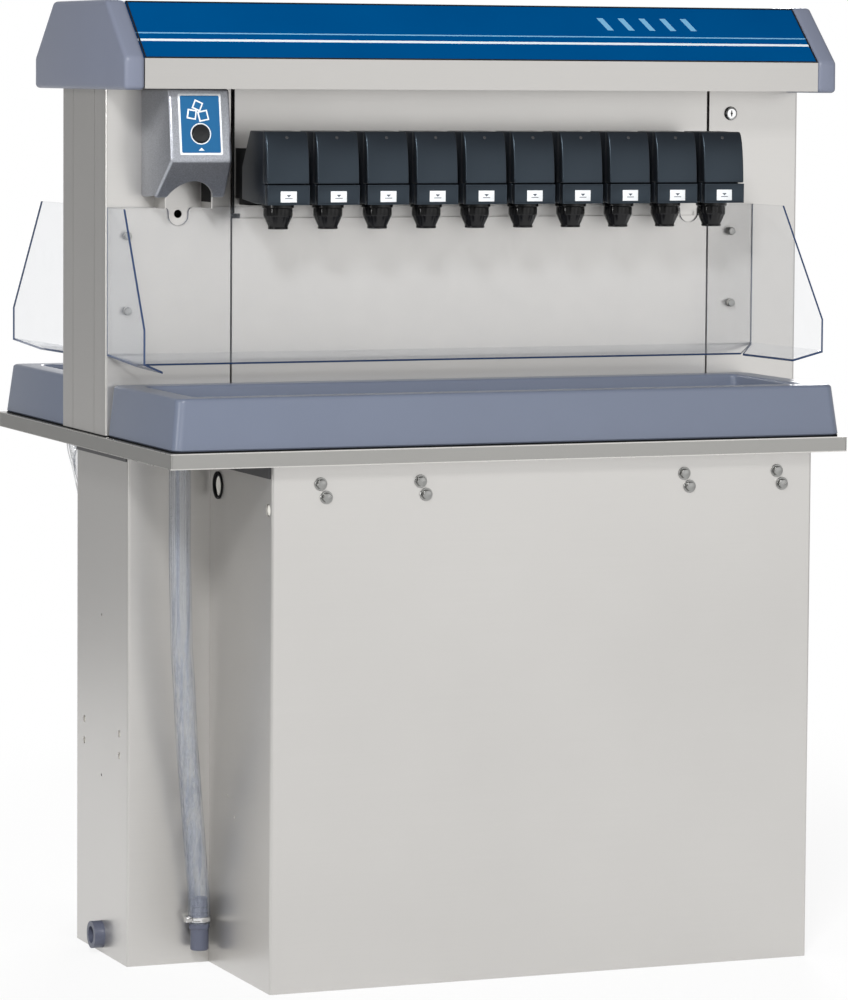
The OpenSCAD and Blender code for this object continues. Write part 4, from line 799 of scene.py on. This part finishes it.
def makeTray():
    t = tray
    x0, x1, y0, top = trayLow.x, trayHigh.x, trayLow.y, trayHigh.z
    y1 = -towerFace - 0.0005
    foot = deckTop + 0.002
    rings = []

    def ring(side, front, rear, z, radius):
        rings.append(roundRing(x0 + side, x1 - side, y0 + front, y1 - rear, radius, z, t["cornerSteps"]))

    ring(0.0015, 0.0015, 0.0, foot, t["corner"])
    ring(0.0, 0.0, 0.0, foot + 0.002, t["corner"])
    for k in range(9):
        turn = math.radians(90 * k / 8)
        inward = t["draft"] + t["edge"] * (1 - math.cos(turn))
        ring(inward, inward, t["edge"] * (1 - math.cos(turn)), top - t["edge"] * (1 - math.sin(turn)),
             t["corner"])
    wide = t["draft"] + t["rim"]
    for k in range(7):
        turn = math.radians(90 * k / 6)
        inward = wide - t["inner"] * (1 - math.sin(turn))
        ring(inward, inward, t["rim"] - t["inner"] * (1 - math.sin(turn)),
             top - t["inner"] * (1 - math.cos(turn)), t["basinCorner"])
    ledge = top - t["drop"]
    ring(wide, wide, t["rim"], ledge, t["basinCorner"])
    ring(wide + t["ledge"], wide + t["ledge"], t["rim"] + t["ledge"], ledge, t["basinCorner"])
    low = foot + t["floor"]
    ring(wide + t["ledge"], wide + t["ledge"], t["rim"] + t["ledge"], low + 0.006, t["basinCorner"])
    ring(wide + t["ledge"] + 0.002, wide + t["ledge"] + 0.002, t["rim"] + t["ledge"] + 0.002, low + 0.0018,
         t["basinCorner"])
    ring(wide + t["ledge"] + 0.006, wide + t["ledge"] + 0.006, t["rim"] + t["ledge"] + 0.006, low,
         t["basinCorner"])
    return lofted("trayBody", rings, finish["slate"], 40)


def makeSpigot(name, x, y):
    wall = [(0.011, deckTop + 0.0135), (0.011, rimBottom), (0.015, rimBottom), (0.015, deckTop + 0.002),
            (0.0175, deckTop + 0.0142), (0.0165, deckTop + 0.0150), (0.011, deckTop + 0.0150)]
    return moved(lathe(name, wall, finish["slate"], 32), Matrix.Translation((x, y, 0)))


trayBody = makeTray()
trayTwin = mirrored(trayBody, "trayTwin")
trayFront = joined("dripTrayFront", [trayBody, makeSpigot("spigotFront", *tray["spigotFront"])])
trayRear = joined("dripTrayRear", [trayTwin, makeSpigot("spigotRear", *tray["spigotRear"])])
for piece in (trayFront, trayRear):
    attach(piece, "cabinet")
    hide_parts("drip_trays")
print("trays made")


# Deck rim: bright bands along its top and bottom edges, a painted highlight on the rim's edges
rimHighlight = {"high": 0.0014, "proud": 0.0004, "inner": 0.0006}


def makeHem(name, bottom, top):
    # a flat band right round the deck, from a little inside its edge to a little outside it; its bright
    # finish paints the edge highlight
    low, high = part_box("deck")
    proud, inner = rimHighlight["proud"], rimHighlight["inner"]
    points = []
    for out, z in ((proud, bottom), (proud, top), (-inner, top), (-inner, bottom)):
        points += [(low.x - out, low.y - out, z), (high.x + out, low.y - out, z),
                   (high.x + out, high.y + out, z), (low.x - out, high.y + out, z)]
    faces = [[4 * r + k, 4 * r + (k + 1) % 4, 4 * ((r + 1) % 4) + (k + 1) % 4, 4 * ((r + 1) % 4) + k]
             for r in range(4) for k in range(4)]
    return newPiece(name, points, faces, finish["bright"])


rimHighlights = joined("deckHems", [makeHem("hemTop", deckTop - rimHighlight["high"], deckTop + 0.0001),
                           makeHem("hemFoot", rimBottom, rimBottom + rimHighlight["high"])])
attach(rimHighlights, "cabinet")
print("deck hems made")


# Tower: black strips beside the seams of the valve panels, painted shade of the narrow seam gaps
edging = {"left": 0.0030, "right": 0.0012, "proud": 0.0006}


def makeEdging():
    low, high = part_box("valve_panels")
    # painted shade: one dark strip at each outer seam, where the gap between the panels lies in shade
    spans = ((low.x - 0.0002, low.x + edging["left"]), (high.x - edging["right"], high.x + 0.0002))
    strips = [block("edging" + str(i), (x0, low.y - edging["proud"], low.z),
                    (x1, low.y + 0.0004, high.z - 0.001), finish["rubber"], 0.0003)
              for i, (x0, x1) in enumerate(spans)]
    return onBoth("panelEdging", joined("edgingFront", strips))


panelEdging = makeEdging()
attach(panelEdging, "cabinet")
print("panel edging made")


# Canopy: moulded end caps, black beading round the coloured panels
canopy = {"capWidth": 0.0305, "capHalf": 0.125, "band": 0.044, "edge": 0.0065,
          "bead": 0.0022, "beadHigh": 0.0009, "slopeHead": -0.124}


def makeCap(name, sign):
    c = canopy
    half, topHalf = capHigh.y, c["capHalf"]
    bandTop = c["band"] + towerTop
    outline = [(-half, capLow.z), (-half, bandTop), (-topHalf, capHigh.z), (topHalf, capHigh.z),
               (half, bandTop), (half, capLow.z)]
    outer = capLow.x if sign < 0 else capHigh.x
    inner = outer - sign * c["capWidth"]
    piece = prism(name, outline, outer, inner, finish["slateCap"])
    return rounded(piece, c["edge"], 5, 20)


for name, sign in (("canopyCapLeft", -1), ("canopyCapRight", 1)):
    cap = makeCap(name, sign)
    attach(cap, "cabinet")
    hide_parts("canopy_caps")


def slopeStrip(name, x0, x1, low, high):
    # a thin strip on the sloping panel, low and high counted up the slope from 0 to 1
    foot, head = Vector((0, panelLow.y, panelLow.z)), Vector((0, canopy["slopeHead"], panelHigh.z))
    along = head - foot
    out = Vector((0, -along.z, along.y)).normalized() * canopy["beadHigh"]
    a, b = foot + along * low, foot + along * high
    points = [Vector((x, 0, 0)) + p for x in (x0, x1) for p in (a, b, b + out, a + out)]
    faces = [[0, 1, 2, 3], [4, 5, 6, 7], [0, 1, 5, 4], [1, 2, 6, 5], [2, 3, 7, 6], [3, 0, 4, 7]]
    return newPiece(name, points, faces, finish["black"])


def makeBeading():
    slopeLong = math.hypot(panelHigh.z - panelLow.z, canopy["slopeHead"] - panelLow.y)
    w = canopy["bead"] / slopeLong
    strips = [slopeStrip("beadFoot", panelLow.x, panelHigh.x, 0.0, w),
              slopeStrip("beadHead", panelLow.x, panelHigh.x, 1 - w, 1.0),
              slopeStrip("beadLeft", panelLow.x, panelLow.x + canopy["bead"], 0.0, 1.0),
              slopeStrip("beadRight", panelHigh.x - canopy["bead"], panelHigh.x, 0.0, 1.0)]
    return onBoth("canopyBeading", joined("beadingFront", strips))


beading = makeBeading()
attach(beading, "cabinet")
print("canopy made")


# Chute covers: a moulded hood with an arch in its underside, its label plate and the marks on it
hood = {"x": -0.443, "back": 0.056, "front": 0.046, "depthTop": 0.090, "depth": 0.1053, "faceLow": 1.1704,
        "low": 1.117, "foot": 0.053, "footDepth": 0.053, "arch": 0.0383, "archRise": 0.024, "wall": 0.003,
        "edge": 0.0045, "buttonZ": 1.209, "buttonHole": 0.0152}
plate = {
    "half": 0.0322, "low": 1.1790, "high": 1.2660, "border": 0.0030, "thick": 0.0006, "corner": 0.002,
    "whiteHole": 0.0138, "blueHole": 0.0155, "line": 0.0022, "tipZ": 1.1850,
    "cubes": ((-0.0125, 1.2365, 0.0070, 9), (0.0045, 1.2345, 0.0076, -12), (-0.0035, 1.2490, 0.0068, 24)),
}  # a cube is its X, its height, its half width and its turn
hoodLean = math.atan2(hood["depth"] - hood["depthTop"], towerTop - hood["faceLow"])


def downFace(z):
    # a height in the frame as a distance along the leaning face, below its top edge
    return (z - towerTop) / math.cos(hoodLean)


def onHood():
    # the leaning face's own frame: X across, -Y out of it, Z up along it
    top = Matrix.Translation((hood["x"], -towerFace - hood["depthTop"], towerTop))
    return top @ Matrix.Rotation(-hoodLean, 4, "X")


def hullPiece(name, points, material):
    work = bmesh.new()
    for p in points:
        work.verts.new(p)
    made = bmesh.ops.convex_hull(work, input=work.verts)
    within = [v for v in made["geom_interior"] if isinstance(v, bmesh.types.BMVert)]
    bmesh.ops.delete(work, geom=within, context="VERTS")
    bmesh.ops.dissolve_limit(work, angle_limit=math.radians(1), verts=work.verts, edges=work.edges)
    mesh = bpy.data.meshes.new(name)
    work.to_mesh(mesh)
    work.free()
    mesh.materials.append(material)
    piece = bpy.data.objects.new(name, mesh)
    bpy.context.scene.collection.objects.link(piece)
    tidyNormals(piece)
    return piece


def hoodPoints(inset, back):
    h = hood
    face = -towerFace
    return [(h["x"] + s * (half - inset), face - depth, z) for s in (-1, 1) for half, depth, z in (
        (h["back"], back, h["low"] + inset), (h["back"], back, towerTop - inset),
        (h["front"], h["depth"] - 1.3 * inset, h["faceLow"] + 0.6 * inset),
        (h["front"], h["depthTop"] - inset, towerTop - inset),
        (h["foot"], h["footDepth"] - inset, h["low"] + inset))]


def cutWith(piece, cutter):
    step = piece.modifiers.new("cut", "BOOLEAN")
    step.operation, step.solver, step.object = "DIFFERENCE", "EXACT", cutter
    baked(piece)
    bpy.data.objects.remove(cutter)
    return piece


def makeHood():
    h = hood
    face = -towerFace
    grey = finish["hoodGrey"]
    piece = hullPiece("hoodBody", hoodPoints(0, 0), grey)
    rounded(piece, h["edge"], 6, 25)
    cutWith(piece, hullPiece("hoodHollow", hoodPoints(h["wall"], -0.01), grey))
    cutWith(piece, block("hoodFloor",
                         (h["x"] - h["back"] + h["wall"], face - h["footDepth"] + 0.004, h["low"] - 0.01),
                         (h["x"] + h["back"] - h["wall"], face + 0.01, h["low"] + 0.004), grey))
    arch = lathe("hoodArch", [(h["arch"], 0.0), (h["arch"], 0.2)], grey, 96)
    moved(arch, Matrix.Translation((h["x"], face + 0.02, h["low"] + h["archRise"] - h["arch"])) @ turnOut)
    cutWith(piece, arch)
    hole = lathe("hoodHole", [(h["buttonHole"], -0.02), (h["buttonHole"], 0.02)], grey, 48)
    moved(hole, onHood() @ Matrix.Translation((0, 0, downFace(h["buttonZ"]))) @ turnOut)
    return cutWith(piece, hole)


def platePart(name, half, low, high, out, material, hole=None):
    r = plate["corner"]
    outline = arc((half - r, high - r), r, 0, 90, 4) + arc((-half + r, high - r), r, 90, 180, 4) \
        + arc((-half + r, low + r), r, 180, 270, 4) + arc((half - r, low + r), r, 270, 360, 4)
    piece = prism(name, outline, -out, plate["thick"] - out, material, lambda a, b, c: (a, c, b))
    if hole:
        cutter = lathe(name + "Hole", [(hole, -0.01), (hole, 0.01)], material, 48)
        moved(cutter, Matrix.Translation((0, 0, downFace(hood["buttonZ"]))) @ turnOut)
        cutWith(piece, cutter)
    return piece


def makeLabelPlate():
    p = plate
    low, high = downFace(p["low"]), downFace(p["high"])
    parts = [platePart("plateWhite", p["half"], low, high, 0.0006, finish["labelWhite"], p["whiteHole"]),
             platePart("plateBlue", p["half"] - p["border"], low + p["border"], high - p["border"], 0.0009,
                       finish["labelBlue"], p["blueHole"])]
    for i, (x, z, half, turn) in enumerate(p["cubes"]):
        for tag, size, out in (("", half, 0.0011), ("Window", half - p["line"], 0.0014)):
            square = block("cube" + tag + str(i), (-size, -0.0002, -size), (size, 0.0002, size),
                           finish["labelBlue" if tag else "labelWhite"])
            parts.append(moved(square, Matrix.Translation((x, -out, downFace(z)))
                               @ Matrix.Rotation(math.radians(turn), 4, "Y")))
    tip = prism("pushTip", [(-0.0045, 0.0), (0.0045, 0.0), (0, 0.0042)], -0.0013, -0.0008,
                finish["labelWhite"], lambda a, b, c: (a, c, b + downFace(p["tipZ"])))
    return moved(joined("iceLabelPart", parts + [tip]), onHood())


hoods = onBoth("chuteCovers", makeHood())
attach(hoods, "cabinet")
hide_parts("chute_covers")
iceLabels = onBoth("iceLabels", makeLabelPlate())
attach(iceLabels, "cabinet")
print("chute covers made")


# Switches: the dark body behind each ice button, the lock's collar and keyhole; and a dark sheet in each
# chute, painted shade on its right wall
chuteShade = {"half": 0.0345, "thick": 0.0004, "deep": 0.0455, "back": 0.004, "low": 1.110, "high": 1.150}
lock = {"x": 0.440, "z": 0.468, "radius": 0.0105, "plug": 0.0070}


def makeIceSwitch():
    wall = [(0.0131, -0.024), (0.0131, 0.0010), (0.0134, 0.0013), (0.0137, 0.0010), (0.0137, -0.0015),
            (0.0150, -0.0015), (0.0150, -0.024)]
    body = lathe("iceSwitchPart", wall, finish["black"], 64)
    return moved(body, onHood() @ Matrix.Translation((0, 0, downFace(hood["buttonZ"]))) @ turnOut)


def makeChuteLining():
    # painted shade: a dark sheet on the chute's right wall, behind the arch, where that wall lies in shade
    wall = hood["x"] + chuteShade["half"]
    plain = block("liningFront", (wall - chuteShade["thick"], -towerFace - chuteShade["deep"], chuteShade["low"]),
                  (wall, -towerFace - chuteShade["back"], chuteShade["high"]), finish["darkPlastic"])
    return onBoth("chuteLinings", plain)


def makeLock():
    k = lock
    r, plug = k["radius"], k["plug"]
    # the collar's black, all round under a chrome ring, is painted shade of the lock's shaded side
    collar = lathe("lockCollar", [(plug + 0.0004, -0.020), (plug + 0.0004, 0.0018), (plug + 0.0012, 0.0018),
                                  (r - 0.0012, 0.0026), (r - 0.0003, 0.0018), (r, 0.0), (r - 0.0013, 0.0),
                                  (r - 0.0013, -0.020)], finish["black"], 64)
    ring = lathe("lockRing", [(plug + 0.0009, 0.0020), (plug + 0.0009, 0.0030), (plug + 0.0015, 0.0035),
                              (plug + 0.0022, 0.0030), (plug + 0.0022, 0.0020)], finish["chrome"], 64)
    return moved(joined("lockCollar", [collar, ring]),
                 Matrix.Translation((k["x"], -towerFace, deckTop + k["z"])) @ turnOut)


def makeKeyhole():
    k = lock
    slit = block("keyholeSlit", (-0.0007, -0.0042, -0.0040), (0.0007, -0.0036, 0.0040), finish["black"])
    dot = lathe("keyholeDot", [(0.0018, 0.0036), (0.0018, 0.00425), (0.0014, 0.0043)], finish["black"], 24)
    return moved(joined("keyhole", [slit, moved(dot, turnOut)]),
                 Matrix.Translation((k["x"], -towerFace, deckTop + k["z"])))


iceSwitches = onBoth("iceSwitches", makeIceSwitch())
lockCollar = makeLock()
chuteLinings = makeChuteLining()
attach(chuteLinings, "cabinet")
for piece in (iceSwitches, lockCollar):
    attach(piece, "cabinet")
    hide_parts("switch_bodies")
keyhole = makeKeyhole()
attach(keyhole, "key_plug")
print("switches made")


# Splash guards: clear sheets with their cut edges as dark lines
guard = {"thick": 0.003, "half": 0.514, "middle": -0.036, "top": 0.331, "fold": 0.117, "lipOut": 0.032,
         "lipDrop": 0.013, "wingTop": 0.095, "wingFront": 0.212, "wingFrontHigh": 0.166, "splay": 4.2,
         "flap": 0.035, "flapBack": 0.027, "mitre": 0.002,
         "notchR": 0.015, "notchDeep": 0.027, "notchEase": 0.008,
         "notchAt": 9.2}  # the right notch, in valve pitches from the first valve


def sheetPair(name, outline, thickness, matrix, folds):
    # the clear faces of a flat sheet drawn in its own X and Z and, as a second piece, its cut edges
    n = len(outline)
    points = [(a, 0, b) for a, b in outline] + [(a, -thickness, b) for a, b in outline]
    faces = newPiece(name + "Clear", points, [list(range(n)), list(range(n, 2 * n))], finish["acrylic"])
    rim = newPiece(name + "Rim", points, [[i, (i + 1) % n, n + (i + 1) % n, n + i] for i in range(n)
                                          if i not in folds], finish["acrylicEdge"])
    return moved(faces, matrix), moved(rim, matrix)


def notchOutline(x):
    # from right to left: an eased corner, the round bottom, the other eased corner
    g = guard
    centre, ease = g["top"] + g["notchR"] - g["notchDeep"], g["notchEase"]
    left, right = x - g["notchR"], x + g["notchR"]
    return arc((right + ease, g["top"] - ease), ease, 90, 180, 8) \
        + arc((x, centre), g["notchR"], 0, -180, 20) \
        + arc((left - ease, g["top"] - ease), ease, 0, 90, 8)


def makeGuard():
    g = guard
    face, middle = -towerFace - 0.0002, g["middle"]
    left, right = -g["half"], g["half"]
    outline = [(left, g["fold"]), (left, g["top"])]
    for x in (hood["x"] - middle, valve["first"] + g["notchAt"] * valve["pitch"] - middle):
        outline += list(reversed(notchOutline(x)))
    outline += [(right, g["top"]), (right, g["fold"])]
    place = Matrix.Translation((middle, face, deckTop))
    last = len(outline) - 1
    pairs = [sheetPair("back", outline, g["thick"], place, (0, last - 1, last))]
    lipLong = math.hypot(g["lipOut"], g["lipDrop"])
    down = math.atan2(g["lipDrop"], g["lipOut"])
    lipTurn = Matrix.Translation((middle, face, deckTop + g["fold"])) \
        @ Matrix.Rotation(down - math.pi / 2, 4, "X")
    lip = [(left, 0), (right, 0), (right - g["lipOut"], -lipLong), (left + g["lipOut"], -lipLong)]
    pairs.append(sheetPair("lip", lip, g["thick"], lipTurn, (0,)))
    clear, rims = [list(found) for found in zip(*pairs)]
    for s in (-1, 1):
        corner = Matrix.Translation((middle + s * g["half"], face, deckTop)) \
            @ Matrix.Rotation(math.radians(s * g["splay"]), 4, "Z")
        upright = corner @ Matrix.Rotation(-math.pi / 2, 4, "Z") \
            @ Matrix.Translation((0, g["thick"] * (s < 0), 0))
        wing = [(0, g["top"]), (g["wingTop"], g["top"]), (g["wingFront"], g["wingFrontHigh"]),
                (g["wingFront"], g["fold"]), (0, g["fold"])]
        pair = sheetPair("wing" + str(s), wing, g["thick"], upright, (3, 4))
        clear.append(pair[0])
        rims.append(pair[1])
        plan = [(0, -g["mitre"] - 0.001), (0, -g["wingFront"]), (g["flap"], g["flapBack"] - g["wingFront"]),
                (g["flap"], -g["flap"] - g["mitre"])]
        flap = [Vector((-s * a, b, g["fold"] - a * math.tan(down))) for a, b in plan]
        lift = Vector((0, 0, g["thick"] / math.cos(down)))
        points = [corner @ p for p in flap] + [corner @ (p + lift) for p in flap]
        clear.append(newPiece("flap" + str(s), points, [[0, 1, 2, 3], [4, 5, 6, 7]], finish["acrylic"]))
        rims.append(newPiece("flapRim" + str(s), points, [[1, 2, 6, 5], [2, 3, 7, 6], [3, 0, 4, 7]],
                             finish["acrylicEdge"]))
        rod = block("fold" + str(s), (-0.0006, -0.0016, g["fold"]), (0.0006, -0.0004, g["top"]),
                    finish["acrylicFold"])
        rims.append(moved(rod, corner))
    return joined("guardClear", clear), joined("guardRim", rims)


guardClear, guardRim = makeGuard()
guardSheets = onBoth("splashGuards", guardClear)
guardEdges = onBoth("splashGuardEdges", guardRim)
for piece in (guardSheets, guardEdges):
    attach(piece, "cabinet")
    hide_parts("splash_guards")
print("splash guards made")


# Light plugs in the two large holes of the cabinet's left side
plugs = (((-0.157, 0.702), 0.0140), ((-0.368, 0.685), 0.0082))  # place in Y and Z, radius


def makePlugs():
    made = []
    for i, ((y, z), r) in enumerate(plugs):
        disc = lathe("plugDisc" + str(i), [(0.002, -0.002), (r - 0.0004, -0.002), (r, -0.0016),
                                           (r - 0.001, 0.0), (r * 0.5, 0.0006), (0.002, 0.0008)],
                     finish["foam"], 40)
        made.append(moved(disc, Matrix.Translation((cabinetLeft + 0.0012, y, z))
                          @ Matrix.Rotation(-math.pi / 2, 4, "Y")))
    return onBoth("holePlugs", joined("plugsFront", made))


holePlugs = makePlugs()
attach(holePlugs, "cabinet")
print("hole plugs made")


# Fasteners: bolt pairs on the cabinet, thumb screws on the guards
bolts = {"places": (0.073, 0.224, 0.636, 0.785), "drop": 0.050, "stepX": 0.0085, "stepZ": 0.019,
         "head": 0.0075, "high": 0.0068, "washer": 0.0095, "hole": 0.0042, "thick": 0.0016,
         "face": 0.382}  # places are counted from the cabinet's left side
thumbs = {"x": (-0.5215, 0.440), "z": 0.290, "pitch": 0.1085, "radius": 0.006, "long": 0.009}


def makeBolt():
    b = bolts
    r, hole, thick = b["washer"], b["hole"], b["thick"]
    washer = lathe("washerPart", [(hole, 0), (r - 0.0004, 0), (r, 0.0004), (r, 0.0012), (r - 0.0004, thick),
                                  (hole, thick)], finish["boltSteel"], 32)
    head = prism("headPart", hexCorners(b["head"], 10), b["thick"], b["high"], finish["boltSteel"],
                 lambda a, c, d: (a, c, d))
    rounded(head, 0.0009, 3)
    return moved(joined("boltPart", [washer, head]), turnOut)


def makeThumb():
    t = thumbs
    knob = lathe("knobPart", [(0.004, 0.0), (t["radius"] - 0.0006, 0.0), (t["radius"], 0.0008),
                              (t["radius"], t["long"] - 0.0016), (t["radius"] - 0.0008, t["long"] - 0.0003),
                              (0.003, t["long"]), (0.001, t["long"])],
                 finish["boltSteel"], 60, (0.0006, t["long"] - 0.0012, 20, -0.0005))
    return moved(knob, turnOut)


for side, sign in sides.items():
    label = side.capitalize()
    bolt, thumb = makeBolt(), makeThumb()
    if sign > 0:
        for part in (bolt, thumb):
            moved(part, flipY)
    boltSites = [(cabinetLeft + x + k * bolts["stepX"], sign * bolts["face"],
                  deckTop - bolts["drop"] - k * bolts["stepZ"]) for x in bolts["places"] for k in (0, 1)]
    thumbSites = [(x, sign * (towerFace + guard["thick"]), deckTop + thumbs["z"] - k * thumbs["pitch"])
                  for x in thumbs["x"] for k in (0, 1)]
    for piece in (repeated("cabinetBolts" + label, bolt, boltSites),
                  repeated("thumbScrews" + label, thumb, thumbSites)):
        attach(piece, "cabinet")
        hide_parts("fasteners")
print("fasteners made")


# Floor, world and lamps
studio = {
    "floor": 2.8, "floorZ": -0.0005, "farFrom": 0.9, "farTo": 2.6,
    "paper": 0.86, "sheen": 0.85,              # share of the floor that shows as white whatever falls on it
    "lamps": {  # place, width and power
        "key": ((-2.8, -5.4, 4.2), 0.9, 330), "fill": ((2.4, -5.0, 1.4), 2.4, 10),
        "edge": ((-4.2, -1.9, 1.4), 0.35, 30), "rear": ((2.6, 5.4, 3.2), 1.6, 240),
    },
    "lampsAim": 0.75,                          # height that the lamps point at
    "base": 0.17, "front": 0.14, "top": 0.20,  # the world's light on matt surfaces
    "dim": 0.6,                                # how much less of that light metal sees
    "ceiling": 0.90, "ceilingLow": 0.08, "ceilingHigh": 0.45,  # how the backdrop darkens upwards for metal
    "flag": 0.90, "flagRise": -3.0, "lift": 0.27,              # a dark screen along the left, weaker low down
    "rightFrom": 0.36, "rightFall": 3.4, "rightMost": 0.5,     # a soft fall low on the right
    "lowRise": -10.0,
}


def rayKinds(tree):
    path = tree.nodes.new("ShaderNodeLightPath")
    return [Wire(tree, path.outputs[kind])
            for kind in ("Is Camera Ray", "Is Glossy Ray", "Is Transmission Ray")]


def makeFloor():
    half, low = studio["floor"], studio["floorZ"]
    mesh = bpy.data.meshes.new("floor")
    mesh.from_pydata([(-half, -half, low), (half, -half, low), (half, half, low), (-half, half, low)],
                     [], [(0, 1, 2, 3)])
    ground = bpy.data.objects.new("floor", mesh)
    bpy.context.scene.collection.objects.link(ground)
    f = Finish("floorPaper")
    x, y, z = f.axes()
    away = (x * x + y * y).maths("SQRT", None)
    far = f.node("ShaderNodeMapRange", {"interpolation_type": "SMOOTHSTEP"},
                 {"Value": away, "From Min": studio["farFrom"], "From Max": studio["farTo"]})
    paper = f.node("ShaderNodeBsdfDiffuse", {}, {"Color": (0.93, 0.93, 0.93, 1)})
    glow = f.node("ShaderNodeEmission", {}, {"Color": (1, 1, 1, 1), "Strength": 1.0})
    camera, glossy, through = rayKinds(f.tree)
    white = (camera + studio["sheen"] * glossy + through) * (studio["paper"] + (1 - studio["paper"]) * far)
    blendOut = f.node("ShaderNodeMixShader", {}, {0: white, 1: paper, 2: glow})
    end = f.tree.nodes.new("ShaderNodeOutputMaterial")
    f.tree.links.new(blendOut.socket, end.inputs["Surface"])
    mesh.materials.append(f.material)


def makeWorld():
    world = bpy.data.worlds.new("studio")
    bpy.context.scene.world = world
    world.use_nodes = True
    tree = world.node_tree
    tree.nodes.clear()
    place = tree.nodes.new("ShaderNodeTexCoord")
    split = tree.nodes.new("ShaderNodeSeparateXYZ")
    tree.links.new(place.outputs["Generated"], split.inputs["Vector"])
    x, y, z = (Wire(tree, s) for s in split.outputs)
    level = studio["base"] + studio["front"] * (y * -1.0).maths("MAXIMUM", 0.0) \
        + studio["top"] * z.maths("MAXIMUM", 0.0)
    span = studio["ceilingHigh"] - studio["ceilingLow"]
    high = ((z - studio["ceilingLow"]) / span).kept(0.0, 1.0)
    left = (x * studio["flagRise"]).kept(0.0, 1.0)
    below = (z * studio["lowRise"]).kept(0.0, 1.0)
    right = (studio["rightFall"] * (x - studio["rightFrom"])).kept(0.0, studio["rightMost"])
    backdrop = (1.0 - studio["ceiling"] * high) * (1.0 - below * right) \
        * (1.0 - studio["flag"] * left * (1.0 - studio["lift"] * below))
    camera, glossy, through = rayKinds(tree)
    level = level * (1.0 - studio["dim"] * glossy)
    shade = tree.nodes.new("ShaderNodeBackground")
    tree.links.new(level.socket, shade.inputs["Strength"])
    share = camera + through + glossy * backdrop
    white = tree.nodes.new("ShaderNodeBackground")
    white.inputs["Strength"].default_value = 1.0
    white.inputs["Color"].default_value = (1, 1, 1, 1)
    shade.inputs["Color"].default_value = (1, 1, 1, 1)
    mixer = tree.nodes.new("ShaderNodeMixShader")
    tree.links.new(share.socket, mixer.inputs[0])
    tree.links.new(shade.outputs[0], mixer.inputs[1])
    tree.links.new(white.outputs[0], mixer.inputs[2])
    end = tree.nodes.new("ShaderNodeOutputWorld")
    tree.links.new(mixer.outputs[0], end.inputs["Surface"])


def makeLamp(name, place, size, power):
    data = bpy.data.lights.new(name, "AREA")
    data.shape, data.size, data.energy = "SQUARE", size, power
    lamp = bpy.data.objects.new(name, data)
    lamp.location = place
    lamp.rotation_mode = "QUATERNION"
    aim = Vector((0, 0, studio["lampsAim"])) - Vector(place)
    lamp.rotation_quaternion = aim.to_track_quat("-Z", "Y")
    bpy.context.scene.collection.objects.link(lamp)


makeFloor()
makeWorld()
for name, (place, size, power) in studio["lamps"].items():
    makeLamp(name + "Lamp", place, size, power)
bpy.context.scene.view_settings.view_transform = "Standard"
print("studio made")
